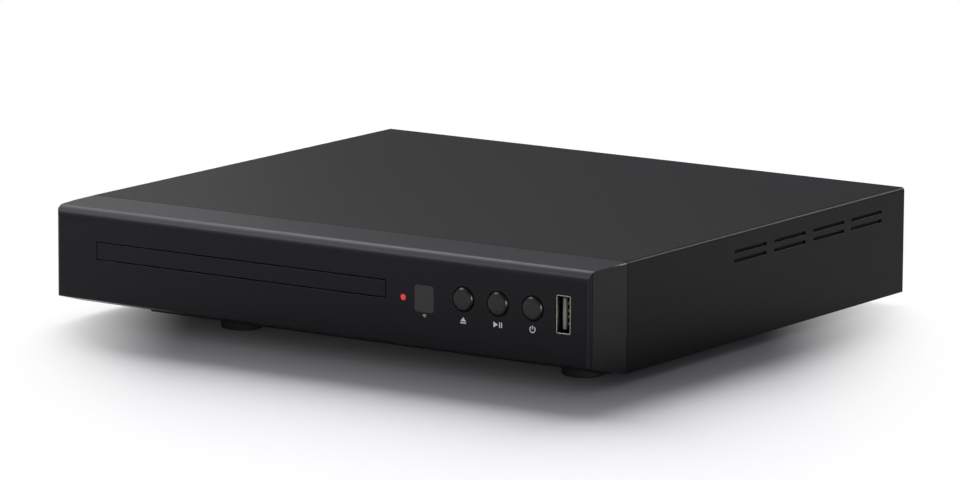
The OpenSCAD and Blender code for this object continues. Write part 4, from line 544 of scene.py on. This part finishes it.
# metal lids of the push switches, a square with a round hole, held by four staked corners
lid = {
    "z": 23, "y": -11.6, "half": 2.95, "corner": 3.894, "hole": 2.15, "thick": 0.2,
    "steps": 32, "stakeAt": 2.45, "stake": [(0, 0.1), (0.42, 0.1), (0.42, 0.32), (0.2, 0.42), (0, 0.42)]}
bm = bmesh.new()
for x in buttonColumns:
    rings = [[], [], [], []]
    for k in range(lid["steps"]):
        angle = 2 * math.pi * (k + 0.5) / lid["steps"]
        across = Vector((math.cos(angle), 0, math.sin(angle)))
        edge = min(lid["half"] / max(abs(across.x), abs(across.z)), lid["corner"])
        section = ((lid["hole"], 0), (edge, 0), (edge, lid["thick"]), (lid["hole"], lid["thick"]))
        for ring, (reach, height) in zip(rings, section):
            ring.append(bm.verts.new(casePoint(x, lid["y"], lid["z"]) + (across * reach + forward * height) / 1000))
    joinRings(bm, rings + rings[:1])
    for dx in (-lid["stakeAt"], lid["stakeAt"]):
        for dz in (-lid["stakeAt"], lid["stakeAt"]):
            turnProfile(bm, lid["stake"], casePoint(x + dx, lid["y"], lid["z"] + dz), forward, 10)
finishPiece("switch_lids", bm, "tin_plate")

# leads of the packages: corner and size of each, pitch, width and inset of its leads, and the sides that carry them
boardTop = 8.62
sunk = boardTop - 0.01
lead = {
    "thick": 0.13, "line": [(-0.2, 0.75), (0.22, 0.75), (0.46, 0.1), (1.1, 0.07)],
    "packages": [((68, 104), (20, 20), 0.65, 0.3, 1.6, "NESW"), ((68, 132), (11, 22), 0.8, 0.36, 1.2, "EW"),
                 ((52, 84), (10, 15), 1.0, 0.42, 1.0, "EW"), ((94, 108), (5, 6), 1.27, 0.42, 1.1, "EW")]}
bm = bmesh.new()
leadCount = 0
for (x0, y0), (w, d), pitch, width, inset, sides in lead["packages"]:
    for side in sides:
        runs = w if side in "NS" else d
        count = int((runs - 2 * inset) / pitch + 0.01) + 1
        for k in range(count):
            along = (runs - (count - 1) * pitch) / 2 + k * pitch
            x, y, out = {"N": (x0 + along, y0 + d, backward), "S": (x0 + along, y0, forward),
                         "E": (x0 + w, y0 + along, rightward), "W": (x0, y0 + along, leftward)}[side]
            addStrip(bm, lead["line"], lead["thick"], width, out, upward, casePoint(x, y, boardTop))
        leadCount += count
finishPiece("chip_leads", bm, "tin_plate")

# chip capacitors and resistors in rows beside the packages: start, step, how many, and the axis each lies along
chip = {
    "length": 1.9, "width": 1.15, "cap": 0.95, "resistor": 0.5, "end": 0.36, "proud": 0.04, "cut": 0.08,
    "rows": [(66.0, 106, 0, 2.2, 5, 0), (70, 101.4, 2.2, 0, 8, 1), (91.2, 105, 0, 2.2, 8, 0),
             (69.5, 127.4, 2.2, 0, 7, 1), (82.2, 134, 0, 2.4, 8, 0), (90, 166.2, 2.2, 0, 7, 1),
             (56, 165, 2.4, 0, 5, 1), (72, 164.6, 2.4, 0, 6, 1), (61.8, 145, 0, 2.2, 4, 0),
             (65.2, 86, 0, 2.2, 6, 0), (90, 138, 2.4, 0, 6, 1), (90, 148, 2.4, 0, 6, 1)]}
small = {part: bmesh.new() for part in ("cap", "resistor", "end")}
half, end = chip["length"] / 2, chip["end"]
for rowIndex, (x0, y0, dx, dy, count, axis) in enumerate(chip["rows"]):
    for k in range(count):
        at = (x0 + k * dx, y0 + k * dy)
        kind = "cap" if (k + rowIndex) % 3 else "resistor"
        spans = [(at[i] - chip["width"] / 2, at[i] + chip["width"] / 2) for i in (0, 1)]
        for store, start, stop in ((kind, end - half, half - end), ("end", -half, end - half),
                                   ("end", half - end, half)):
            spans[axis] = (at[axis] + start, at[axis] + stop)
            low, proud = (sunk, chip["proud"]) if store == "end" else (boardTop, 0)
            addBlock(small[store], *spans, (low, boardTop + chip[kind] + proud), chip["cut"])
finishPiece("chip_capacitors", small["cap"], "ceramic")
finishPiece("chip_resistors", small["resistor"], "chip_epoxy")
finishPiece("chip_part_ends", small["end"], "tin_plate")

# wafer connectors at the ends of the flat cables: the box of each, and its pins (start, step, how many)
plug = {
    "lip": 0.35, "lipZ": (1.2, 2.0), "pinHalf": 0.3, "pinTop": 0.7,
    "at": [((46.1, 50.0), (163.6, 173.4), (8.62, 12.2), (50.3, 165, 0, 1.25, 7)),
           ((21.3, 24.9), (163.6, 173.4), (8.62, 12.6), (21.0, 165, 0, 1.25, 7)),
           ((68.4, 87.6), (78.7, 82.4), (8.62, 10.9), (71, 82.7, 1.25, 0, 12)),
           ((68.4, 87.6), (-6.58, -3.4), (18.6, 22.2), (0, 0, 0, 0, 0))]}
bm, pins = bmesh.new(), bmesh.new()
for x, y, z, (px, py, dx, dy, count) in plug["at"]:
    addBlock(bm, x, y, z, 0.25)
    spans = [x, y]
    lengthwise = 0 if x[1] - x[0] > 10 else 1
    spans[lengthwise] = (spans[lengthwise][0] - plug["lip"], spans[lengthwise][1] + plug["lip"])
    addBlock(bm, *spans, [z[0] + lift for lift in plug["lipZ"]], 0.15)
    for k in range(count):
        spans = [(at - plug["pinHalf"], at + plug["pinHalf"]) for at in (px + k * dx, py + k * dy)]
        addBlock(pins, *spans, (sunk, boardTop + plug["pinTop"]), 0.1)
finishPiece("cable_connectors", bm, "white_plastic")
finishPiece("connector_pins", pins, "tin_plate")

# transformer: sintered core plates with legs between them, a bobbin flange at each end, and pins into the board
core = {
    "plates": [((-24.3, -3.7), (156.7, 176.3), z) for z in ((8.3, 11.9), (22.3, 25.4))],
    "legs": [(x, (160.2, 172.8), (11.7, 22.5)) for x in ((-24.9, -21.1), (-6.9, -3.1))],
    "feet": [((-23.2, -4.8), y, (8.62, 11.4)) for y in ((154.3, 157.1), (175.9, 178.7))],
    "centre": (-14, 166.5), "flange": 8.4, "tube": 7.4, "flangeZ": ((11.9, 12.7), (21.5, 22.3)),
    "pinX": (-8, -4, 0, 4, 8), "pinY": (-11, 11),
    "pin": [(0, 11.2), (0.35, 11.2), (0.35, 12.3), (0.25, 12.5), (0, 12.5)]}
cx, cy = core["centre"]
buildPiece("transformer_core", "ferrite", blocks(core["plates"], 0.45) + blocks(core["legs"], 0.3))
buildPiece("transformer_bobbin", "black_plastic", [
    (turnProfile, [(core["tube"], low), (core["flange"], low + 0.1), (core["flange"], high - 0.1),
                   (core["tube"], high)], casePoint(cx, cy, 0), upward, 40, True) for low, high in core["flangeZ"]
] + blocks(core["feet"], 0.3))
buildPiece("transformer_pins", "tin_plate", [
    (turnProfile, core["pin"], casePoint(cx + dx, cy + dy, 0), upward, 8)
    for dy in core["pinY"] for dx in core["pinX"]])

# round capacitors: aluminium tops scored with a cross that lets them vent, sleeve rims, seals and a polarity stripe
can = {
    "at": [(-40, 166, 6.5, 21), (6, 164, 4, 15), (17, 164, 4, 15), (6, 174, 3.2, 12),
           (52, 128, 3.1, 9), (52, 138, 3.1, 9), (98, 92, 3.1, 9), (98, 128, 3.1, 9)],
    "base": 8.6, "rim": 0.55, "lift": 0.12, "score": 0.14, "stripe": (208, 242)}
tops, sleeves, stripes, seals = (bmesh.new() for part in range(4))
for x, y, r, h in can["at"]:
    top, inside, gap = casePoint(x, y, can["base"] + h), r - can["rim"], can["score"]
    for quarter in range(4):
        # four sectors with the score lines left open between them
        turn = math.pi / 2 * quarter
        tip = (gap * 1.414 * math.cos(turn + math.pi / 4), gap * 1.414 * math.sin(turn + math.pi / 4))
        turns = [turn + gap / inside + (math.pi / 2 - 2 * gap / inside) * k / 8 for k in range(9)]
        raiseOutline(tops, [tip] + [(inside * math.cos(a), inside * math.sin(a)) for a in turns], 0.0, can["lift"],
                     upward, rightward, top)
    # the sleeve curls over the rim of the can
    turnProfile(sleeves, [(inside + 0.02, 0), (inside + 0.02, 0.2), (inside + 0.25, 0.3), (r - 0.08, 0.16),
                          (r + 0.07, -0.25), (r + 0.07, -0.8), (inside + 0.3, -0.8)], top, upward, 36, True)
    turnProfile(seals, [(r - 0.6, boardTop), (r + 0.12, boardTop), (r + 0.12, 9.1), (r - 0.6, 9.2)],
                casePoint(x, y, 0), upward, 30, True)
    raiseRing(stripes, r + 0.05, r - 0.2, *can["stripe"], 8, 0.9, h - 2.0, upward, casePoint(x, y, can["base"]))
finishPiece("capacitor_tops", tops, "bare_aluminium")
finishPiece("capacitor_sleeve_rims", sleeves, "capacitor_sleeve")
finishPiece("capacitor_seals", seals, "belt_rubber")
finishPiece("capacitor_stripes", stripes, "printed_stripe")

# film capacitor: a moulded case over the wound block, with two ribs on top
film = {
    "case": [((-66.3, -51.7), (159.7, 172.3), (8.3, 22.9))],
    "ribs": [((-64.5, -53.5), y, (22.8, 23.2)) for y in ((162.3, 163.1), (168.4, 169.2))]}
buildPiece("film_capacitor_case", "film_box", blocks(film["case"], 0.5) + blocks(film["ribs"], 0.15))

# glass fuse with its wire and caps, in two clips of two leaves each that bow round the cap
fuse = {
    "x": -71, "y": (157.5, 177.0), "z": 12.6, "glass": 2.35, "wire": 0.12, "cap": [(0, 5.0), (14.5, 19.5)],
    "leaf": ([(1.9, 0), (2.75, 2.2), (2.95, 4.0), (2.55, 5.6), (2.75, 6.6)], 0.35, 4.0)}
y0, y1 = fuse["y"]
r, wire, middle = fuse["glass"], fuse["wire"], casePoint(fuse["x"], 0, fuse["z"])
buildPiece("fuse_glass", "clear_glass", [
    (turnProfile, [(0, y0 + 0.5), (r, y0 + 0.5), (r, y1 - 0.5), (0, y1 - 0.5)], middle, backward, 24)])
bm = bmesh.new()
turnProfile(bm, [(0, y0 + 0.6), (wire, y0 + 0.7), (wire, y1 - 0.7), (0, y1 - 0.6)], middle, backward, 8)
for a, b in ((y0 + start, y0 + stop) for start, stop in fuse["cap"]):
    turnProfile(bm, [(0, a), (2.3, a), (2.55, a + 0.25), (2.55, b - 0.25), (2.3, b), (0, b)], middle, backward, 24)
    for out in (leftward, rightward):
        addStrip(bm, *fuse["leaf"], out, upward, casePoint(fuse["x"], (a + b) / 2, boardTop))
finishPiece("fuse_clips", bm, "nickel")

# rectifier diodes with a band at one end, resistors with thick ends, and their leads bent down to the board
axial = {
    "diode": {"at": [(-49.2, 161.5), (-49.2, 172.2)], "radius": 1.3, "half": 2.5},
    "resistor": {"at": [(-1.0, 160.2), (-1.0, 171.5)], "radius": 1.1, "half": 2.8},
    "lift": 0.25, "lead": 1.4, "wire": 0.32}
diodes, bands, resistors, wires = (bmesh.new() for part in range(4))
for kind, store in (("diode", diodes), ("resistor", resistors)):
    r, half = axial[kind]["radius"], axial[kind]["half"]
    z, reach = boardTop + r + axial["lift"], half + axial["lead"]
    ends = {"diode": [(0, half), (r - 0.2, half), (r, half - 0.2)],
            "resistor": [(0, half), (r * 0.8, half), (r, half - 0.5), (r, half - 1.2), (r * 0.82, half - 1.6)]}[kind]
    bends = ((half - 0.1, z), (reach - 0.5, z), (reach - 0.1, z - 0.15), (reach, z - 0.5), (reach, boardTop))
    for x, y in axial[kind]["at"]:
        at = casePoint(x, y, z)
        turnProfile(store, [(u, -v) for u, v in ends] + ends[::-1], at, backward, 20)
        if kind == "diode":
            turnProfile(bands, [(r - 0.2, half - 1.3), (r + 0.03, half - 1.3), (r + 0.03, half - 0.6),
                                (r - 0.2, half - 0.6)], at, backward, 20, True)
        for sign in (-1, 1):
            tubeAlong(wires, [(x, y + sign * out, height) for out, height in bends], axial["wire"])
finishPiece("rectifier_diodes", diodes, "chip_epoxy")
finishPiece("diode_bands", bands, "tin_plate")
finishPiece("power_resistors", resistors, "resistor_lacquer")
finishPiece("axial_leads", wires, "tin_plate")

# transistor bolted to a heat sink with six fins, 3.42 mm apart
sink = {
    "plate": [((-30.9, -29.3), (157.5, 176.5), (boardTop, 29.5))],
    "fins": [((-33.5, -30.8), (158 + 3.42 * k, 158.9 + 3.42 * k), (12.0, 29.5)) for k in range(6)],
    "body": [((-29.25, -25.2), (162, 172), (13.2, 22.0))], "tab": [((-29.28, -28.0), (162.1, 171.9), (21.5, 28.0))],
    "legs": [((-27.6, -27.1), y, (boardTop, 13.5)) for y in ((164.06, 164.86), (166.6, 167.4), (169.14, 169.94))],
    "boltAt": (-28.0, 167, 24.8), "bolt": [(0, 0), (2.4, 0), (2.4, 1.0), (1.9, 1.5), (0, 1.6)]}
buildPiece("heat_sink", "anodised_black", blocks(sink["plate"] + sink["fins"], 0.2))
buildPiece("power_transistor", "chip_epoxy", blocks(sink["body"], 0.3))
buildPiece("transistor_tab", "tin_plate", blocks(sink["tab"], 0.2) + blocks(sink["legs"], 0.1) + [
    (turnProfile, sink["bolt"], casePoint(*sink["boltAt"]), rightward)])

# controller in a dual in-line package
dip = {
    "case": [((11.2, 20.8), (171.4, 177.6), (9.3, 12.6))], "sides": ((171.4, forward), (177.6, backward)),
    "pinX": (12.19, 14.73, 17.27, 19.81), "pin": ([(-0.2, 2.2), (0.35, 2.2), (0.6, 1.9), (0.62, 0)], 0.25, 1.1)}
buildPiece("power_controller", "chip_epoxy", blocks(dip["case"], 0.3))
buildPiece("controller_pins", "tin_plate", [
    (addStrip, *dip["pin"], out, upward, casePoint(x, y, boardTop))
    for x in dip["pinX"] for y, out in dip["sides"]])

# flat tabs that take the mains from the inlet down to the board
tab = {
    "x": (-90.3, -81.7), "y": 168.4, "line": ([(-1.5, 6.4), (0.6, 6.4), (1.4, 5.9), (1.7, 5.0), (1.7, 0)], 0.8, 2.4)}
buildPiece("inlet_tabs", "nickel", [
    (addStrip, *tab["line"], forward, upward, casePoint(x, tab["y"], boardTop)) for x in tab["x"]])

# HDMI contacts on both faces of the tongue: how many, and their height
hdmi = {"x": 97, "pitch": 1.0, "half": 0.14, "y": (171.4, 180.6), "rows": ((10, (12.37, 12.52)), (9, (10.81, 10.96)))}
buildPiece("hdmi_contacts", "gold_plate", blocks([
    ([hdmi["x"] + (k - (count - 1) / 2) * hdmi["pitch"] + side for side in (-hdmi["half"], hdmi["half"])],
     hdmi["y"], z)
    for count, z in hdmi["rows"] for k in range(count)], 0.03))

# split sleeve inside each phono socket
sleeve = {
    "x": (54, 68, 82), "z": 17, "y": 181.5, "long": 8.7, "outer": 1.62, "inner": 1.3,
    "from": (8, 98, 188, 278), "turn": 74}
buildPiece("phono_centres", "nickel", [
    (raiseRing, sleeve["outer"], sleeve["inner"], start, start + sleeve["turn"], 6, sleeve["y"],
     sleeve["long"], backward, casePoint(x, 0, sleeve["z"]))
    for x in sleeve["x"] for start in sleeve["from"]])

# cross-head screws of the loader, the bridge, the boards and the dampers: radius, height, rim, recess floor,
# half width of the slot and length of its arms
bridgeHead = (2.58, 2.2, 1.2, 1.65, 0.32, 1.2)
boardCorners = ((-94, 158), (26, 158), (26, 175), (50, 78), (50, 162), (105.5, 78), (105.5, 162))
heads = {
    "loader_screw_heads": ("housing", (2.78, 2.3, 1.3, 1.75, 0.34, 1.3),
                           [(x, y, 8.02) for x in (-99.4, 35.4) for y in (6, 140)]),
    "bridge_screw_heads": ("housing", bridgeHead, [(x, y, 29.52) for x in (-98, 34) for y in (38, 55)]),
    "board_screw_heads": ("housing", bridgeHead, [(x, y, boardTop) for x, y in boardCorners]),
    "damper_screw_heads": ("lift", (2.76, 1.75, 0.9, 1.25, 0.32, 1.3),
                           [(x, y, 16.84) for x in (-74, 10) for y in (38, 117)]),
}
for name, (body, head, places) in heads.items():
    bm = bmesh.new()
    for i, (x, y, z) in enumerate(places):
        turn = math.radians(17 + 53 * i)  # no two were driven home at the same angle
        addScrewHead(bm, head, casePoint(x, y, z), upward, Vector((math.cos(turn), math.sin(turn), 0)))
    finishPiece(name, bm, "bright_screw", body)

# pickup: lens frame between its magnets, the suspension wires, and two small circuits with their parts and six
# pads in a row on each, 0.6 mm apart
pickup = {
    "lensY": 70.5,
    "magnets": [((-5.6, 5.6), y, (21.0, 22.2)) for y in ((63.9, 65.6), (75.4, 77.1))],
    "frame": [(3.35, 21.05), (4.3, 21.05), (4.3, 21.9), (4.0, 22.1), (3.35, 22.1)],
    "arms": [(x, (67.7, 73.3), (21.05, 21.7)) for x in ((-7.2, -4.2), (4.2, 7.2))],
    "coil": [(1.2, 21.75), (1.9, 21.75), (1.9, 22.05), (1.2, 22.05)], "coilX": 5.6,
    "wire": [(7.0, 2.2, 21.5), (8.0, 4.2, 21.5), (9.2, 6.4, 21.4)], "wireRadius": 0.09,
    "circuits": [((-14.6, -10.6), (64.5, 81.5), (19.38, 19.75)), ((10.6, 14.8), (66.5, 81.5), (19.38, 19.75))],
    "parts": [((11.4, 14.0), (68, 71), (19.7, 20.7)), ((-13.9, -11.3), (67.5, 72.5), (19.7, 20.6))],
    "trimmer": [(0, 20.6), (1.0, 20.6), (1.0, 20.85), (0.45, 20.95), (0, 20.95)], "trimmerAt": (12.7, 69.5),
    "pads": [((x + 0.6 * k, x + 0.6 * k + 0.3), (78.6, 81.0), (19.72, 19.86))
             for k in range(6) for x in (11.2, -14.2)]}
lensY = pickup["lensY"]
buildPiece("focus_magnets", "magnet", blocks(pickup["magnets"], 0.2, loaderPoint), "sled")
buildPiece("lens_frame", "black_plastic", [
    (turnProfile, pickup["frame"], loaderPoint(0, lensY, 0), upward, 36, True)
] + blocks(pickup["arms"], 0.2, loaderPoint), "sled")
bm = bmesh.new()
for sx in (-1, 1):
    turnProfile(bm, pickup["coil"], loaderPoint(sx * pickup["coilX"], lensY, 0), upward, 20, True)
    for sy in (-1, 1):
        # casePoint counts from the bezel's middle, 32 mm beside the tray's
        tubeAlong(bm, [(sx * x - 32, lensY + sy * y, z) for x, y, z in pickup["wire"]], pickup["wireRadius"], 6)
finishPiece("suspension_wires", bm, "copper_wire", "sled")
buildPiece("pickup_boards", "polyimide", blocks(pickup["circuits"], 0.1, loaderPoint), "sled")
buildPiece("pickup_parts", "chip_epoxy", blocks(pickup["parts"], 0.2, loaderPoint), "sled")
buildPiece("pickup_pads", "gold_plate", [
    (turnProfile, pickup["trimmer"], loaderPoint(*pickup["trimmerAt"], 0), upward, 20)
] + blocks(pickup["pads"], 0.04, loaderPoint), "sled")

# sprung fingers in the turntable's cone, which centre the disc
finger = {
    "line": [(5.4, 0), (7.2, 0.1), (7.42, 0.5), (7.0, 1.3), (6.1, 1.95), (5.4, 1.95)], "width": 1.5,
    "angles": (0, 120, 240), "at": (0, 46.5, 24.52)}
outs = [Vector((math.cos(math.radians(angle)), math.sin(math.radians(angle)), 0)) for angle in finger["angles"]]
buildPiece("centring_fingers", "acetal", [
    (raiseOutline, finger["line"], -finger["width"] / 2, finger["width"], out.cross(upward), out,
     loaderPoint(*finger["at"])) for out in outs], "spindle")

# thin dark-grey felt behind the vent slots on both sides: a sheet that sets the painted shade seen through the slots
felt = {"strips": [(x, (66.2, 168.8), (26.6, 33.0)) for x in ((-111.66, -111.3), (111.3, 111.66))], "cut": 0.04}
buildPiece("vent_shade_sheets", "vent_shade_felt", blocks(felt["strips"], felt["cut"]))
print("detail pieces made,", leadCount, "leads")


# floor, lamps and camera

# shade, centre, box, reach and dark set the shadow painted on the paper; haze is a faint painted lift of its deepest
# shade
floorSpec = {
    "half": 6.0, "paper": "#ffffff", "shade": "#000000", "centre": (0.012, -0.03), "box": (0.095, 0.075),
    "reach": 0.045, "dark": 0.55, "haze": 0.012, "sky": "#f6f5ff"}
half = floorSpec["half"]
floorMesh = bpy.data.meshes.new("floor")
floorMesh.from_pydata([(-half, -half, 0), (half, -half, 0), (half, half, 0), (-half, half, 0)], [], [(0, 1, 2, 3)])
floor = bpy.data.objects.new("floor", floorMesh)
scene.collection.objects.link(floor)

# white paper with a painted shadow: it darkens by the distance from the part's footprint, on top of the light's own
# soft shadow
floorMaterial = bpy.data.materials.new("whitePaperPaintedShadow")
tree = emptyTree(floorMaterial)
floorPlace = addNode(tree, "TexCoord").outputs["Object"]
past = floorPlace
for operation, value in (("SUBTRACT", (*floorSpec["centre"], 0)), ("ABSOLUTE", (0, 0, 0)),
                         ("SUBTRACT", (*floorSpec["box"], 0)), ("MAXIMUM", (0, 0, 0))):
    past = addNode(tree, "VectorMath", {0: past, 1: value}, operation=operation).outputs[0]
distance = addNode(tree, "VectorMath", {0: past}, operation="LENGTH").outputs["Value"]
paintedShadowFade = addNode(tree, "MapRange", {
    "Value": distance, "From Max": floorSpec["reach"], "To Min": floorSpec["dark"]}, interpolation_type="SMOOTHSTEP")
paper = addNode(tree, "Mix", {0: paintedShadowFade, 6: floorSpec["shade"], 7: floorSpec["paper"]}, data_type="RGBA")
floorDiffuse = addNode(tree, "BsdfDiffuse", {"Color": paper.outputs[2]})
# painted light: towards both ends of the part a white glow, seen only by the camera and in reflections, thins the
# shadow out into white
endSpec = {"direction": (0.829, 0.56, 0), "middle": -0.005, "from": 0.098, "to": 0.172}
run = addNode(tree, "VectorMath", {0: floorPlace, 1: endSpec["direction"]}, operation="DOT_PRODUCT").outputs["Value"]
shifted = addNode(tree, "Math", {0: run, 1: endSpec["middle"]}, operation="SUBTRACT")
reach = addNode(tree, "Math", {0: shifted}, operation="ABSOLUTE")
ends = addNode(tree, "MapRange", {
    "Value": reach, "From Min": endSpec["from"], "From Max": endSpec["to"]}, interpolation_type="SMOOTHSTEP")
ray = addNode(tree, "LightPath").outputs
seen = addNode(tree, "Math", {0: ray["Is Camera Ray"], 1: ray["Is Glossy Ray"]}, operation="MAXIMUM")
shown = addNode(tree, "Math", {0: seen, 1: ray["Is Transmission Ray"]}, operation="MAXIMUM").outputs[0]
amount = addNode(tree, "Math", {0: ends, 1: shown}, operation="MULTIPLY")
# painted light: a faint glow, seen only by the camera and in reflections, lifts the deepest shade of the paper to a
# dark grey
haze = addNode(tree, "Math", {0: shown, 1: floorSpec["haze"]}, operation="MULTIPLY")
paintedLiftGlow = addNode(tree, "Emission", {"Color": floorSpec["sky"], "Strength": haze})
floorShader = addNode(tree, "AddShader", {0: floorDiffuse, 1: paintedLiftGlow})
endsPaintedLight = addNode(tree, "Emission", {"Color": floorSpec["paper"], "Strength": 1.0})
blend = addNode(tree, "MixShader", {0: amount, 1: floorShader, 2: endsPaintedLight})
addNode(tree, "OutputMaterial", {"Surface": blend})
floorMesh.materials.append(floorMaterial)

# an even, slightly cool room
world = bpy.data.worlds.new("studio")
scene.world = world
tree = emptyTree(world)
room = addNode(tree, "Background", {"Color": floorSpec["sky"], "Strength": 0.19})
addNode(tree, "OutputWorld", {"Surface": room})

# broad daylight from behind the left shoulder of the part: it sets the soft shadow in front
sunSpec = {"strength": 6.5, "spread": 46, "from": (-0.53, 0.73, 0.395)}
sunData = bpy.data.lights.new("windowLight", "SUN")
sunData.energy = sunSpec["strength"]
sunData.angle = math.radians(sunSpec["spread"])
sun = bpy.data.objects.new("windowLight", sunData)
sun.rotation_euler = Vector(sunSpec["from"]).to_track_quat("Z", "Y").to_euler()
sun.visible_glossy = False
scene.collection.objects.link(sun)

# softboxes (size, power, place, aim): all but the white wall show only as reflections, so that they draw edges
# and leave the shadow to the daylight
lamps = {
    # long panel overhead at the left: highlight along the brow
    "overheadPanel": ((0.8, 2.6), 33, (-1.1, 0.2, 1.3), (-1.1, 0.2, 0)),
    # white wall at the front left: it lifts the front face
    "frontPanel": ((1.6, 0.9), 4.5, (-1.1, -1.5, 0.6), (0, 0, 0.02)),
    # smaller panel above that wall: the highlight fades slowly down the brow
    "browPanel": ((0.6, 0.5), 5.5, (-1.0, -0.9, 1.15), (0, 0, 0.02)),
    # panel behind the part: highlight along the cover's long edge
    "backPanel": ((0.5, 0.4), 8.0, (0.4, 1.15, 0.66), (0, 0, 0)),
    # small lamp at the right, low down: the line of light on the front corner
    "cornerLamp": ((0.5, 0.5), 15, (1.45, -1.0, 0.27), (0, 0, 0.02)),
    # low lamp at the back left, which brightens that end of the cover
    "lowLamp": ((0.5, 0.3), 0.2, (-1.0, 0.8, 0.3), (-0.1, 0, 0.04)),
}
for name, (size, power, place, aim) in lamps.items():
    light = bpy.data.lights.new(name, "AREA")
    light.shape = "RECTANGLE"
    light.size, light.size_y = size
    light.energy = power
    lamp = bpy.data.objects.new(name, light)
    lamp.location = place
    lamp.rotation_euler = (Vector(aim) - Vector(place)).to_track_quat("-Z", "Y").to_euler()
    lamp.visible_diffuse = name == "frontPanel"
    scene.collection.objects.link(lamp)

view = {
    "lens": 229.14, "sensor": 36, "reach": 50, "at": (1.19276, -1.77053, 0.40823),
    "yaw": 0.594314, "pitch": 0.177467, "roll": 0.0057014}
cameraData = bpy.data.cameras.new("camera")
cameraData.lens = view["lens"]
cameraData.sensor_width = view["sensor"]
cameraData.sensor_fit = "HORIZONTAL"
cameraData.clip_end = view["reach"]
camera = bpy.data.objects.new("camera", cameraData)
yaw, pitch, roll = view["yaw"], view["pitch"], view["roll"]
back = Vector((math.sin(yaw) * math.cos(pitch), -math.cos(yaw) * math.cos(pitch), math.sin(pitch)))
level = Vector((math.cos(yaw), math.sin(yaw), 0))
above = back.cross(level)
right = level * math.cos(roll) + above * math.sin(roll)
top = above * math.cos(roll) - level * math.sin(roll)
camera.matrix_world = Matrix.Translation(view["at"]) @ Matrix((right, top, back)).transposed().to_4x4()
scene.collection.objects.link(camera)
bpy.context.scene.camera = camera
bpy.context.scene.view_settings.view_transform = "Standard"
print("stage ready")
